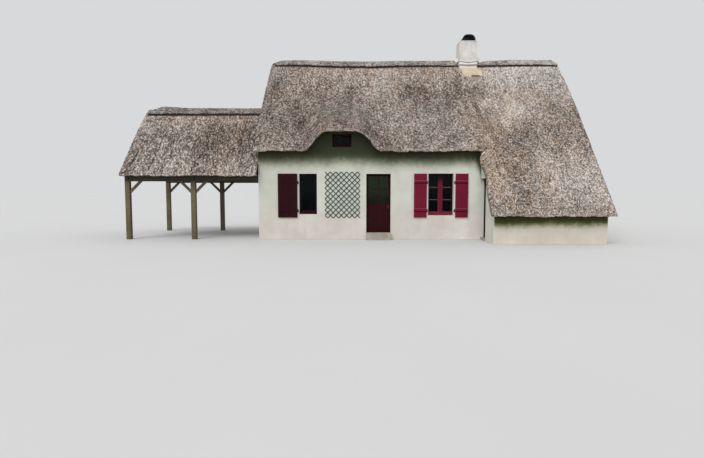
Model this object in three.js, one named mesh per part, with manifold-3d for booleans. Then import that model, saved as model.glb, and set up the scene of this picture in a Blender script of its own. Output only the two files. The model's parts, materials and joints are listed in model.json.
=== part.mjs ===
// A thatched cottage: rendered masonry walls, a steep thatched roof with an eyebrow over a loft window,
// a long catslide slope over a low outshut, and an open timber shelter under a lower thatched wing.
// Millimetres, +X right along the front, +Y away from the front, +Z up. The house is drawn with the outer
// face of its front wall at Y = 0 and the lowest ground at Z = 0, and moved to its own centre at the end.
import * as THREE from 'three';
import { mergeVertices } from 'three/addons/utils/BufferGeometryUtils.js';
import Module from 'manifold-3d';

const wasm = await Module();
wasm.setup();

// Fits between pieces: a gap at a seat, a bite where one piece grows out of another, and a height over all
const SEAT = 0.3;
const BITE = 40;
const SKY = 9500;
// Walls are drawn taller than the roof and cut to its underside
const UNCUT = { wall: 4750, gable: 9400 };
// How finely bent and round shapes are divided
const ARC_STEPS = 16;
const ROUND_SIDES = 10;
const ROOF_STEPS = { eyebrow: 16, swell: 4, bentSlope: 9, plainSlope: 4 };

// Masonry
const WALL = 450;
const HOUSE = { left: -3450, right: 8580, front: 0, rear: 6000 };
const INSIDE = {
  left: HOUSE.left + WALL,
  right: HOUSE.right - WALL,
  front: HOUSE.front + WALL,
  rear: HOUSE.rear - WALL,
};
const OUTSHUT = { left: 4760, front: -1800 };
const FLOOR_TOP = 250;
const OUTSHUT_FLOOR_TOP = 80;
const LOFT = { bottom: 2500, top: 2650 };
const STEP_REACH = 250;

// Main roof
const THATCH = 328;
const RIDGE = { y: 3000, z: 7100, slope: 1.094 };
const EAVE = { reach: 420, undercut: 340 };
const ROOF_DEPTH = THATCH * Math.hypot(1, RIDGE.slope);
// Each verge leans in, its curve is the power by which it rolls over towards the ridge, and the
// underside of a left verge takes this share of the lean
const VERGE = { left: -3570, right: 8720, lean: 40, roll: 190, leftCurve: 2, shoulder: 110, rightCurve: 6 };
const UNDERSIDE_LEAN = 0.45;
const CATSLIDE = { left: 4580, kinkY: 1500, slope: 1.185, eaveY: -2220, blend: 880, drop: 300, tuck: 60 };
const EYEBROW = { x: -360, flat: 300, half: 1420, rise: 710, run: 1900, fullness: 1.5 };
const CAP = { thickness: 120, half: 200, slant: 330 };

// Wing over the open shelter
const WING = { left: -8430, ridgeY: 2200, ridgeZ: 5090, slope: 1.027, reach: 360 };
const WING_VERGE = { lean: 30, roll: 100, curve: 4 };
const WING_DEPTH = THATCH * Math.hypot(1, WING.slope);
const WING_CAP = { half: 224, slant: 450 };
const POSTS = { left: -8312, middle: -5880, front: 120, rear: 4280, width: 170 };
const PLATE = { bottom: 2150, top: 2360 };
const TIE = { width: 120, height: 170 };
const RAFTER = { depth: 130, foot: -10 };
const BRACE = { leg: 450, thickness: 127, width: 90 };
const RIDGE_POLE = { half: 60, bottom: 4400, top: 4560 };

// Chimney
const STACK = { left: 4440, right: 5150, front: 2620, rear: 3370, top: 7958 };
const APRON = { side: 130, end: 180, thickness: 60 };
const COWL = { x: 4860, front: 2825, length: 340, half: 270, crown: 315, sheet: 14 };
const COWL_ARC = { squareness: 2.8, facets: 24 };

// Doorways: where the opening's hinge side stands, its size, and how deep the frame is set in the wall
const FRONT_DOORWAY = { x: 527, width: 903, height: 2176, recess: 130 };
const SIDE_DOORWAY = { width: 700, height: 2170, recess: 120 };
const FRAME = { width: 30, depth: 80, stop: 44, stopDepth: 28 };
const LEAF = { gap: 7, under: 8, thickness: 45 };
const HINGE = { radius: 8, proud: 9, height: 50, plate: 11, reach: 30, low: 250, fromTop: 450 };
const DOOR_GLASS = { border: 45, bottom: 1091, bar: 28, barDepth: 20 };
const PANE_THICKNESS = 6;

// Windows: the opening in the wall, and what its casements hold
const WINDOW_1 = { x0: -1952, x1: -1296, z0: 934, z1: 2430, rail: 130, mullion: 0, rows: 1 };
const WINDOW_2 = { x0: 2815, x1: 3750, z0: 893, z1: 2437, rail: 130, mullion: 180, rows: 3 };
const LOFT_WINDOW = { x0: -720, x1: -20, z0: 3400, z1: 3880, rail: 60, mullion: 70, rows: 1 };
const REAR_WINDOW_LEFT = { x0: -1000, x1: -65, z0: 893, z1: 2437, rail: 130, mullion: 180, rows: 3 };
const REAR_WINDOW_RIGHT = { x0: 5600, x1: 6535, z0: 893, z1: 2437, rail: 130, mullion: 180, rows: 3 };
const CASEMENT = { border: 60, bar: 24, recess: 200, depth: 70, barDepth: 32 };

// Shutters: each hangs on two pintles in the wall beside its window
const SHUTTER = { z0: 815, z1: 2430, standoff: 30, thickness: 35, batten: 12, heel: 25 };
const BATTENS = [[1050, 1160], [2090, 2185]];
const KNUCKLE = { radius: 12, height: 60, strap: 16, reach: 60, lift: 15 };
const PINTLE = { width: 20, depth: 25 };
const SHUTTER_AXIS_Y = HOUSE.front - SHUTTER.standoff - SHUTTER.thickness / 2;
const SHUTTER_1 = { axisX: -1990, side: -1, reach: 740 };
const SHUTTER_2_LEFT = { axisX: 2780, side: -1, reach: 495 };
const SHUTTER_2_RIGHT = { axisX: 3785, side: 1, reach: 495 };
// Half a cell over in each direction, so that a lath runs into every corner
const TRELLIS = { x0: -1000, z0: 800, cell: 200, columns: 6.5, rows: 8.5, lath: 26, thickness: 20 };

// Materials
const finish = (color, roughness, metalness = 0) => ({ color, roughness, metalness });
const LIME_RENDER = finish(0xcfcabd, 0.95);
const STRAW = finish(0x96877a, 1);
const RIDGE_STRAW = finish(0x938e88, 1);
const BURGUNDY = finish(0x6d2234, 0.6);
const PANE = finish(0x2c3436, 0.08);
const RAW_TIMBER = finish(0x757052, 0.9);
const FLAGSTONE = finish(0x9c968a, 0.9);
const FLOOR_BOARD = finish(0x7d6347, 0.8);
const MORTAR = finish(0xd3c4ac, 0.95);
const DARK_METAL = finish(0x1f2226, 0.55, 0.7);
const GREEN_LATH = finish(0x2f4b43, 0.7);

const house = new THREE.Group();

// Solids and cuts: a shape is a geometry, or the solid that cuts and joins leave
function toSolid(shape) {
  if (!shape.isBufferGeometry) return shape;
  const bare = shape.clone();
  bare.deleteAttribute('normal');
  bare.deleteAttribute('uv');
  const merged = mergeVertices(bare, 1e-3);
  return new wasm.Manifold(new wasm.Mesh({
    numProp: 3,
    vertProperties: merged.attributes.position.array,
    triVerts: new Uint32Array(merged.index.array),
  }));
}

function toGeometry(shape) {
  if (shape.isBufferGeometry) return shape;
  const mesh = shape.getMesh();
  const geometry = new THREE.BufferGeometry();
  geometry.setAttribute('position', new THREE.BufferAttribute(mesh.vertProperties, 3));
  geometry.setIndex(new THREE.BufferAttribute(mesh.triVerts, 1));
  geometry.computeVertexNormals();
  return geometry;
}

function add(name, shape, material, parent = house) {
  const mesh = new THREE.Mesh(toGeometry(shape), new THREE.MeshStandardMaterial(material));
  mesh.name = name;
  parent.add(mesh);
  return mesh;
}

function join(...shapes) {
  return shapes.map(toSolid).reduce((whole, piece) => whole.add(piece));
}

function carve(shape, ...tools) {
  return tools.map(toSolid).reduce((rest, tool) => rest.subtract(tool), toSolid(shape));
}

function keepInside(shape, bounds) {
  return toSolid(shape).intersect(toSolid(bounds));
}

function block(x0, x1, y0, y1, z0, z1) {
  const geometry = new THREE.BoxGeometry(x1 - x0, y1 - y0, z1 - z0);
  return geometry.translate((x0 + x1) / 2, (y0 + y1) / 2, (z0 + z1) / 2);
}

// A slab that stands along X from y0 to y1, with holes cut right through it
function standing({ x0, x1, z0, z1 }, y0, y1, holes = []) {
  const cuts = holes.map((hole) => block(hole.x0, hole.x1, y0 - BITE, y1 + BITE, hole.z0, hole.z1));
  return carve(block(x0, x1, y0, y1, z0, z1), ...cuts);
}

function outline(points) {
  return new THREE.Shape(points.map(([a, b]) => new THREE.Vector2(a, b)));
}

function extrude(shape, from, to, axes) {
  const options = { depth: to - from, bevelEnabled: false, curveSegments: ARC_STEPS };
  const geometry = new THREE.ExtrudeGeometry(shape, options);
  return geometry.applyMatrix4(new THREE.Matrix4().makeBasis(...axes));
}

const X_AXIS = new THREE.Vector3(1, 0, 0);
const Y_AXIS = new THREE.Vector3(0, 1, 0);
const Z_AXIS = new THREE.Vector3(0, 0, 1);

// A shape drawn in X and Z, standing from y0 to y1
function extrudeAlongY(shape, y0, y1) {
  const axes = [X_AXIS, Z_AXIS, Y_AXIS.clone().negate()];
  return extrude(shape, y0, y1, axes).translate(0, y1, 0);
}

// A shape drawn in Y and Z, lying from x0 to x1
function extrudeAlongX(shape, x0, x1) {
  return extrude(shape, x0, x1, [Y_AXIS, Z_AXIS, X_AXIS]).translate(x0, 0, 0);
}

function upright(radius, x, y, z0, z1) {
  const geometry = new THREE.CylinderGeometry(radius, radius, z1 - z0, ROUND_SIDES);
  return geometry.rotateX(Math.PI / 2).translate(x, y, (z0 + z1) / 2);
}

function steps(from, to, count) {
  return Array.from({ length: count + 1 }, (_, i) => from + ((to - from) * i) / count);
}

const clamp01 = (value) => Math.min(1, Math.max(0, value));
const smooth = (value) => clamp01(value) ** 2 * (3 - 2 * clamp01(value));
const mix = (a, b, share) => a + (b - a) * share;

// A coat between two bent faces: a box with a column for each station along the roof and a row for each
// step up the slope, whose corners are moved to place(station, row, top)
function bentCoat({ stations, rows, place }) {
  const columns = stations.length - 1;
  const lines = rows.length - 1;
  const geometry = new THREE.BoxGeometry(1, 1, 1, columns, lines, 1);
  const position = geometry.attributes.position;
  for (let i = 0; i < position.count; i += 1) {
    const station = stations[Math.round((position.getX(i) + 0.5) * columns)];
    const row = rows[Math.round((position.getY(i) + 0.5) * lines)];
    position.setXYZ(i, ...place(station, row, position.getZ(i) > 0));
  }
  return geometry;
}

// Everything above a coat's underside, to cut what carries the coat to its slope. It may run a little
// past the coat's last station, where the next coat lies lower.
function skyOver({ stations, rows, place }, beyond = 0) {
  const last = stations.at(-1);
  return bentCoat({
    stations,
    rows,
    place: (station, row, top) => {
      const [x, y, z] = place(station, row, false);
      return [station === last ? x + beyond : x, y, top ? SKY : z - SEAT];
    },
  });
}

// Main roof: the height of the thatch's outer face
const mainTop = (y) => RIDGE.z - RIDGE.slope * Math.abs(RIDGE.y - y);

function catslideTop(y) {
  return y < CATSLIDE.kinkY ? mainTop(CATSLIDE.kinkY) - CATSLIDE.slope * (CATSLIDE.kinkY - y) : mainTop(y);
}

// The eave lifts over the loft window, and the lift dies out up the slope
function eyebrowLift(x, share) {
  const away = clamp01((Math.abs(x - EYEBROW.x) - EYEBROW.flat) / (EYEBROW.half - EYEBROW.flat));
  const bell = 0.5 * (1 + Math.cos(Math.PI * away ** EYEBROW.fullness));
  return EYEBROW.rise * bell * (1 - smooth((share * (RIDGE.y + EAVE.reach)) / EYEBROW.run));
}

// Beside the main eave the catslide swells up to meet the main slope
function catslideLift(x, y) {
  const eaveY = Math.max(y, -EAVE.reach);
  const beside = 1 - smooth((x - CATSLIDE.left) / CATSLIDE.blend);
  const below = 1 - smooth((-EAVE.reach - y) / CATSLIDE.drop);
  return (mainTop(eaveY) - catslideTop(eaveY)) * beside * below;
}

// The outer face of a verge leans in towards the ridge, and on the left the underside follows it
const leftLean = ({ lean, roll }, rise, top) => (lean + roll * rise) * (top ? 1 : UNDERSIDE_LEAN);

function vergeLean(x, share, top) {
  if (x === VERGE.left) return leftLean(VERGE, share ** VERGE.leftCurve, top);
  if (x === VERGE.right && top) return -VERGE.lean / 2 - VERGE.shoulder * share ** VERGE.rightCurve;
  return 0;
}

// Below the main eave the underside of the catslide's left edge is tucked in
function catslideTuck(x, y, top) {
  return x === CATSLIDE.left && !top ? CATSLIDE.tuck * smooth((-EAVE.reach - y) / CATSLIDE.drop) : 0;
}

const slopeY = (eaveY, share, top) => mix(top ? eaveY : eaveY + EAVE.undercut, RIDGE.y, share);

function frontThatch(x, share, top) {
  const y = slopeY(-EAVE.reach, share, top);
  const z = mainTop(y) + eyebrowLift(x, share) - (top ? 0 : ROOF_DEPTH);
  return [x + vergeLean(x, share, top), y, z];
}

function catslideThatch(x, share, top) {
  const y = slopeY(CATSLIDE.eaveY, share, top);
  const z = catslideTop(y) + (top ? catslideLift(x, y) : -ROOF_DEPTH);
  return [x + vergeLean(x, share, top) + catslideTuck(x, y, top), y, z];
}

function rearThatch(x, share, top) {
  const y = 2 * RIDGE.y - slopeY(-EAVE.reach, share, top);
  return [x + vergeLean(x, share, top), y, mainTop(y) - (top ? 0 : ROOF_DEPTH)];
}

const eyebrowStations = steps(EYEBROW.x - EYEBROW.half, EYEBROW.x + EYEBROW.half, ROOF_STEPS.eyebrow);
const kinkShare = (CATSLIDE.kinkY - CATSLIDE.eaveY) / (RIDGE.y - CATSLIDE.eaveY);
const frontCoat = {
  stations: [VERGE.left, ...eyebrowStations, CATSLIDE.left],
  rows: steps(0, 1, ROOF_STEPS.bentSlope),
  place: frontThatch,
};
const swellStations = steps(CATSLIDE.left, CATSLIDE.left + CATSLIDE.blend, ROOF_STEPS.swell);
const catslideCoat = {
  stations: [...swellStations, VERGE.right],
  rows: [...steps(0, kinkShare, ROOF_STEPS.bentSlope), 1],
  place: catslideThatch,
};
// Seen from behind, the rear slope runs the other way, so its stations do too
const rearRows = steps(0, 1, ROOF_STEPS.plainSlope);
const rearCoat = { stations: [VERGE.right, VERGE.left], rows: rearRows, place: rearThatch };
const frontSky = () => skyOver(frontCoat, WALL);
const catslideSky = () => skyOver(catslideCoat);
const rearSky = () => skyOver(rearCoat);

function stackHole() {
  const { left, right, front, rear } = STACK;
  return block(left - SEAT, right + SEAT, front - SEAT, rear + SEAT, 0, SKY);
}

// A saddle of straw over a ridge, with a slanted end where slant is given
function ridgeSaddle(x0, x1, ridgeY, topAt, half, slants) {
  const place = (x, offset, top) => {
    const slant = top ? (x === x0 ? slants[0] : -slants[1]) : 0;
    const y = ridgeY + offset;
    return [x + slant, y, topAt(y) + SEAT + (top ? CAP.thickness : 0)];
  };
  return bentCoat({ stations: [x0, x1], rows: [-half, 0, half], place });
}

function mainRoof() {
  add('thatch_front', carve(bentCoat(frontCoat), stackHole()), STRAW);
  add('thatch_catslide', carve(bentCoat(catslideCoat), stackHole()), STRAW);
  add('thatch_rear', carve(bentCoat(rearCoat), stackHole()), STRAW);
  const capLeft = VERGE.left + VERGE.lean + VERGE.roll;
  const capRight = VERGE.right - VERGE.lean / 2 - VERGE.shoulder;
  const toStack = STACK.left - APRON.side - SEAT;
  const fromStack = STACK.right + APRON.side + SEAT;
  const saddle = (x0, x1, slants) => ridgeSaddle(x0, x1, RIDGE.y, mainTop, CAP.half, slants);
  add('ridge_cap_left', saddle(capLeft, toStack, [CAP.slant, 0]), RIDGE_STRAW);
  add('ridge_cap_right', saddle(fromStack, capRight, [0, CAP.slant]), RIDGE_STRAW);
}

// The hood's section, a little squarer than a half round, from its right foot over the crown to its left
function cowlArc(inset) {
  const { half, crown } = COWL;
  const { squareness, facets } = COWL_ARC;
  const bend = (value) => Math.sign(value) * Math.abs(value) ** (2 / squareness);
  return Array.from({ length: facets + 1 }, (_, i) => {
    const turn = (Math.PI * i) / facets;
    const foot = i === 0 || i === facets;
    return [(half - inset) * bend(Math.cos(turn)), foot ? 0 : (crown - inset) * bend(Math.sin(turn))];
  });
}

function chimney() {
  const { left, right, front, rear, top } = STACK;
  add('chimney_stack', block(left, right, front, rear, FLOOR_TOP, top), LIME_RENDER);
  const apron = bentCoat({
    stations: [left - APRON.side, right + APRON.side],
    rows: [front - APRON.end, RIDGE.y, rear + APRON.end],
    place: (x, y, outer) => [x, y, mainTop(y) + SEAT + (outer ? APRON.thickness : 0)],
  });
  add('chimney_apron', carve(apron, stackHole()), MORTAR);
  const arch = outline([...cowlArc(0), ...cowlArc(COWL.sheet).reverse()]);
  const back = COWL.front + COWL.length;
  const sheet = extrudeAlongY(arch, COWL.front, back);
  const plate = extrudeAlongY(outline(cowlArc(0)), back - COWL.sheet, back);
  add('chimney_cowl', join(sheet, plate).translate(COWL.x, 0, top), DARK_METAL);
}

// Walls
function wallAlongX(x0, x1, y0, z0, windows) {
  return standing({ x0, x1, z0, z1: UNCUT.wall }, y0, y0 + WALL, windows);
}

function shutterPintles({ axisX }) {
  const side = PINTLE.width / 2;
  return BATTENS.map(([z0]) => {
    const top = z0 + KNUCKLE.lift - SEAT;
    return block(axisX - side, axisX + side, SHUTTER_AXIS_Y - side, BITE, top - PINTLE.depth, top);
  });
}

function walls() {
  const doorLeft = FRONT_DOORWAY.x;
  const doorRight = doorLeft + FRONT_DOORWAY.width;
  const doorHead = FLOOR_TOP + FRONT_DOORWAY.height;
  const { left, right, front, rear } = HOUSE;
  const frontLeft = carve(wallAlongX(left, doorLeft, front, 0, [WINDOW_1, LOFT_WINDOW]), frontSky());
  add('front_wall_left', join(frontLeft, ...shutterPintles(SHUTTER_1)), LIME_RENDER);
  const overDoor = carve(wallAlongX(doorLeft, doorRight, front, doorHead), frontSky());
  add('front_wall_over_door', overDoor, LIME_RENDER);
  const frontRightBlank = wallAlongX(doorRight, INSIDE.right, front, 0, [WINDOW_2]);
  const frontRight = carve(frontRightBlank, frontSky(), catslideSky());
  const pintles = [...shutterPintles(SHUTTER_2_LEFT), ...shutterPintles(SHUTTER_2_RIGHT)];
  add('front_wall_right', join(frontRight, ...pintles), LIME_RENDER);
  const rearBlank = wallAlongX(left, INSIDE.right, INSIDE.rear, 0, [REAR_WINDOW_LEFT, REAR_WINDOW_RIGHT]);
  add('rear_wall', carve(rearBlank, rearSky()), LIME_RENDER);
  const leftGable = block(left, INSIDE.left, INSIDE.front, INSIDE.rear, 0, UNCUT.gable);
  add('left_gable_wall', carve(leftGable, frontSky(), rearSky()), LIME_RENDER);
  const rightGable = block(INSIDE.right, right, OUTSHUT.front, rear, 0, UNCUT.gable);
  add('right_gable_wall', carve(rightGable, catslideSky(), rearSky()), LIME_RENDER);
}

function outshutWalls() {
  const { left, front } = OUTSHUT;
  const jamb = HOUSE.front - SIDE_DOORWAY.width;
  const head = OUTSHUT_FLOOR_TOP + SIDE_DOORWAY.height;
  const under = (wall) => carve(wall, catslideSky());
  add('outshut_front_wall', under(wallAlongX(left, INSIDE.right, front, 0)), LIME_RENDER);
  const sideWall = block(left, left + WALL, front + WALL, jamb, 0, UNCUT.wall);
  add('outshut_side_wall', under(sideWall), LIME_RENDER);
  const overDoor = block(left, left + WALL, jamb, HOUSE.front, head, UNCUT.wall);
  add('outshut_wall_over_door', under(overDoor), LIME_RENDER);
}

function floors() {
  const { left, right, front, rear } = INSIDE;
  add('ground_floor', block(left, right, front, rear, 0, FLOOR_TOP), FLAGSTONE);
  const loft = block(left, right, front, rear, LOFT.bottom, LOFT.top);
  add('loft_floor', carve(loft, stackHole()), FLOOR_BOARD);
  const { x, width } = FRONT_DOORWAY;
  const doorstep = block(x, x + width, -STEP_REACH, HOUSE.front + WALL, 0, FLOOR_TOP);
  add('front_doorstep', doorstep, FLAGSTONE);
  const inner = OUTSHUT.left + WALL;
  const sill = block(OUTSHUT.left, inner + BITE, -SIDE_DOORWAY.width, 0, 0, OUTSHUT_FLOOR_TOP);
  const slab = block(inner, right, OUTSHUT.front + WALL, 0, 0, OUTSHUT_FLOOR_TOP);
  add('outshut_floor', join(sill, slab), FLAGSTONE);
}

// Doors, drawn with the hinge side of the opening at X = 0, the wall's outer face at Y = 0 and the sill at
// Z = 0; the leaf swings towards +Y about the hinge's axis
function jambs(width, height, border) {
  const right = width - SEAT;
  const top = height - SEAT;
  return outline([
    [SEAT, SEAT], [border, SEAT], [border, height - border], [width - border, height - border],
    [width - border, SEAT], [right, SEAT], [right, top], [SEAT, top],
  ]);
}

function hingeHalves({ height, recess }, towards, drop) {
  const axisX = FRAME.width + LEAF.gap / 2;
  const back = recess + FRAME.depth;
  const endX = axisX + towards * HINGE.reach;
  return [HINGE.low, height - HINGE.fromTop].flatMap((z) => {
    const bottom = z - drop;
    const top = bottom + HINGE.height - SEAT;
    const knuckle = upright(HINGE.radius, axisX, back + HINGE.proud, bottom, top);
    const plateBack = back + HINGE.proud;
    const plate = block(
      Math.min(axisX, endX), Math.max(axisX, endX), plateBack - HINGE.plate, plateBack, bottom, top,
    );
    return [knuckle, plate];
  });
}

function doorFrame(door) {
  const { width, height, recess } = door;
  const casing = extrudeAlongY(jambs(width, height, FRAME.width), recess, recess + FRAME.depth);
  const stop = extrudeAlongY(jambs(width, height, FRAME.stop), recess, recess + FRAME.stopDepth);
  return join(casing, stop, ...hingeHalves(door, -1, HINGE.height));
}

function leafSize({ width, height, recess }) {
  const edge = FRAME.width + LEAF.gap;
  const back = recess + FRAME.depth;
  const front = back - LEAF.thickness;
  return { x0: edge, x1: width - edge, z0: LEAF.under, z1: height - edge, front, back };
}

function plainLeaf(door) {
  const { x0, x1, z0, z1, front, back } = leafSize(door);
  return join(block(x0, x1, front, back, z0, z1), ...hingeHalves(door, 1, 0));
}

function glassHole(door) {
  const { x0, x1, z1 } = leafSize(door);
  const { border, bottom } = DOOR_GLASS;
  return { x0: x0 + border, x1: x1 - border, z0: bottom, z1: z1 - border };
}

function glazedLeaf(door) {
  const { x0, x1, z0, z1, front, back } = leafSize(door);
  const hole = glassHole(door);
  const half = DOOR_GLASS.bar / 2;
  const midX = (hole.x0 + hole.x1) / 2;
  const midZ = (hole.z0 + hole.z1) / 2;
  const barBack = front + DOOR_GLASS.barDepth;
  const uprightBar = block(midX - half, midX + half, front, barBack, hole.z0 - BITE, hole.z1 + BITE);
  const levelBar = block(hole.x0 - BITE, hole.x1 + BITE, front, barBack, midZ - half, midZ + half);
  const board = standing({ x0, x1, z0, z1 }, front, back, [hole]);
  return join(board, uprightBar, levelBar, ...hingeHalves(door, 1, 0));
}

function shrunk({ x0, x1, z0, z1 }, by) {
  return { x0: x0 + by, x1: x1 - by, z0: z0 + by, z1: z1 - by };
}

function paneIn(hole, y0) {
  const { x0, x1, z0, z1 } = shrunk(hole, SEAT);
  return block(x0, x1, y0, y0 + PANE_THICKNESS, z0, z1);
}

function doors() {
  const frontDoor = new THREE.Group();
  frontDoor.position.set(FRONT_DOORWAY.x, HOUSE.front, FLOOR_TOP);
  house.add(frontDoor);
  add('front_door_frame', doorFrame(FRONT_DOORWAY), BURGUNDY, frontDoor);
  add('front_door', glazedLeaf(FRONT_DOORWAY), BURGUNDY, frontDoor);
  const glassY = leafSize(FRONT_DOORWAY).front + DOOR_GLASS.barDepth + SEAT;
  add('front_door_glass', paneIn(glassHole(FRONT_DOORWAY), glassY), PANE, frontDoor);

  const sideDoor = new THREE.Group();
  sideDoor.position.set(OUTSHUT.left, HOUSE.front, OUTSHUT_FLOOR_TOP);
  sideDoor.rotation.z = -Math.PI / 2;
  house.add(sideDoor);
  add('side_door_frame', doorFrame(SIDE_DOORWAY), BURGUNDY, sideDoor);
  add('side_door', plainLeaf(SIDE_DOORWAY), BURGUNDY, sideDoor);
}

// Windows, set in from the wall face at faceY; inward is +1 where the room lies towards +Y
function spans(from, to, count, bar) {
  const width = (to - from - bar * (count - 1)) / count;
  const starts = Array.from({ length: count }, (_, i) => from + i * (width + bar));
  return starts.map((start) => [start, start + width]);
}

function casement(name, opening, faceY, inward) {
  const { border, bar, recess, depth, barDepth } = CASEMENT;
  const seat = shrunk(opening, SEAT);
  const hole = { ...shrunk(seat, border), z0: seat.z0 + opening.rail };
  const from = (deep) => faceY + inward * (recess + deep);
  const layer = (holes, deep) => {
    return standing(seat, Math.min(from(0), from(deep)), Math.max(from(0), from(deep)), holes);
  };
  const lights = spans(hole.x0, hole.x1, opening.mullion ? 2 : 1, opening.mullion);
  const rows = spans(hole.z0, hole.z1, opening.rows, bar);
  const panes = lights.flatMap(([x0, x1]) => rows.map(([z0, z1]) => ({ x0, x1, z0, z1 })));
  add(`${name}_frame`, join(layer([hole], depth), layer(panes, barDepth)), BURGUNDY);
  const near = from(barDepth + SEAT);
  add(`${name}_glass`, paneIn(hole, inward > 0 ? near : near - PANE_THICKNESS), PANE);
}

function windows() {
  casement('window_1', WINDOW_1, HOUSE.front, 1);
  casement('window_2', WINDOW_2, HOUSE.front, 1);
  casement('loft_window', LOFT_WINDOW, HOUSE.front, 1);
  casement('rear_window_left', REAR_WINDOW_LEFT, HOUSE.rear, -1);
  casement('rear_window_right', REAR_WINDOW_RIGHT, HOUSE.rear, -1);
}

// A shutter lies open against the wall, battens outward, and turns half round its upright axis to close
function shutter(name, { axisX, side, reach }) {
  const slab = (from, to, y0, y1, z0, z1) => {
    const ends = [side * from, side * to];
    return block(Math.min(...ends), Math.max(...ends), y0, y1, z0, z1);
  };
  const half = SHUTTER.thickness / 2;
  const board = slab(SHUTTER.heel, reach, SHUTTER.batten - half, half, SHUTTER.z0, SHUTTER.z1);
  const battens = BATTENS.map(([z0, z1]) => slab(SHUTTER.heel, reach, -half, 0, z0, z1));
  const knuckles = BATTENS.flatMap(([z0]) => {
    const bottom = z0 + KNUCKLE.lift;
    const top = bottom + KNUCKLE.height;
    const strap = slab(0, KNUCKLE.reach, -KNUCKLE.strap / 2, KNUCKLE.strap / 2, bottom, top);
    return [upright(KNUCKLE.radius, 0, 0, bottom, top), strap];
  });
  const mesh = add(name, join(board, ...battens, ...knuckles), BURGUNDY);
  mesh.position.set(axisX, SHUTTER_AXIS_Y, 0);
}

// Slanted laths that cross, cut off square at the edges, flat against the wall
function trellis() {
  const { x0, z0, cell, columns, rows, lath, thickness } = TRELLIS;
  const back = HOUSE.front - SEAT;
  const height = rows * cell;
  const foot = z0 - cell;
  const rise = height + 2 * cell;
  const half = lath / Math.SQRT2;
  const lean = (x, side) => {
    const head = x + side * rise;
    const top = foot + rise;
    const corners = [[x - half, foot], [x + half, foot], [head + half, top], [head - half, top]];
    return extrudeAlongY(outline(corners), back - thickness, back);
  };
  const count = Math.ceil(columns + rows) + 2;
  const starts = Array.from({ length: count }, (_, i) => i * cell);
  const rising = starts.map((start) => lean(x0 - rise + start, 1));
  const falling = starts.map((start) => lean(x0 + cell / 2 + start, -1));
  const edge = block(x0, x0 + columns * cell, back - thickness, back, z0, z0 + height);
  add('wall_trellis', keepInside(join(...rising, ...falling), edge), GREEN_LATH);
}

// Open shelter
const wingTop = (y) => WING.ridgeZ - WING.slope * Math.abs(WING.ridgeY - y);

function wingThatch(side) {
  return (x, share, top) => {
    const away = mix(WING.ridgeY + WING.reach - (top ? 0 : EAVE.undercut), 0, share);
    const y = WING.ridgeY - side * away;
    const shift = x === WING.left ? leftLean(WING_VERGE, share ** WING_VERGE.curve, top) : 0;
    return [x + shift, y, wingTop(y) - (top ? 0 : WING_DEPTH)];
  };
}

const wingRight = HOUSE.left - SEAT;
const wingRows = steps(0, 1, ROOF_STEPS.plainSlope);
const wingFrontCoat = { stations: [WING.left, wingRight], rows: wingRows, place: wingThatch(1) };
const wingRearCoat = { stations: [wingRight, WING.left], rows: wingRows, place: wingThatch(-1) };

function shelterRoof() {
  add('shelter_thatch_front', bentCoat(wingFrontCoat), STRAW);
  add('shelter_thatch_rear', bentCoat(wingRearCoat), STRAW);
  const capLeft = WING.left + WING_VERGE.lean + WING_VERGE.roll;
  const cap = ridgeSaddle(capLeft, wingRight, WING.ridgeY, wingTop, WING_CAP.half, [WING_CAP.slant, 0]);
  add('shelter_ridge_cap', cap, RIDGE_STRAW);
}

// A post with a knee brace up to the plate on each side named
function bracedPost(name, x, y, braceSides) {
  const half = POSTS.width / 2;
  const { leg, thickness, width } = BRACE;
  const braces = braceSides.map((side) => {
    const shape = outline([
      [x + side * BITE, PLATE.bottom - leg - (half - BITE)],
      [x + side * (half + leg), PLATE.bottom],
      [x + side * (half + leg - thickness), PLATE.bottom],
      [x + side * BITE, PLATE.bottom - leg - (half - BITE) + thickness],
    ]);
    return extrudeAlongY(shape, y - width / 2, y + width / 2);
  });
  const post = block(x - half, x + half, y - half, y + half, 0, PLATE.bottom);
  add(name, join(post, ...braces), RAW_TIMBER);
}

function plate(name, y) {
  const half = POSTS.width / 2;
  const box = block(POSTS.left - half, wingRight, y - half, y + half, PLATE.bottom, PLATE.top);
  add(name, box, RAW_TIMBER);
}

function plateSeat(y) {
  const half = POSTS.width / 2 + SEAT;
  return block(POSTS.left - half, wingRight, y - half, y + half, PLATE.bottom, PLATE.top + SEAT);
}

function truss(x) {
  const half = TIE.width / 2;
  const plateHalf = POSTS.width / 2;
  const tieTop = PLATE.top + TIE.height;
  const tie = block(x - half, x + half, POSTS.front - plateHalf, POSTS.rear + plateHalf, PLATE.top, tieTop);
  const { ridgeY } = WING;
  const king = block(x - half, x + half, ridgeY - half, ridgeY + half, tieTop - BITE, RIDGE_POLE.top);
  const under = (y) => wingTop(y) - WING_DEPTH;
  const feet = [RAFTER.foot, 2 * ridgeY - RAFTER.foot];
  const rafters = outline([
    [feet[0], under(feet[0]) - RAFTER.depth], [ridgeY, under(ridgeY) - RAFTER.depth],
    [feet[1], under(feet[1]) - RAFTER.depth], [feet[1], under(feet[1])],
    [ridgeY, under(ridgeY)], [feet[0], under(feet[0])],
  ]);
  return [tie, king, extrudeAlongX(rafters, x - half, x + half)];
}

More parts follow.
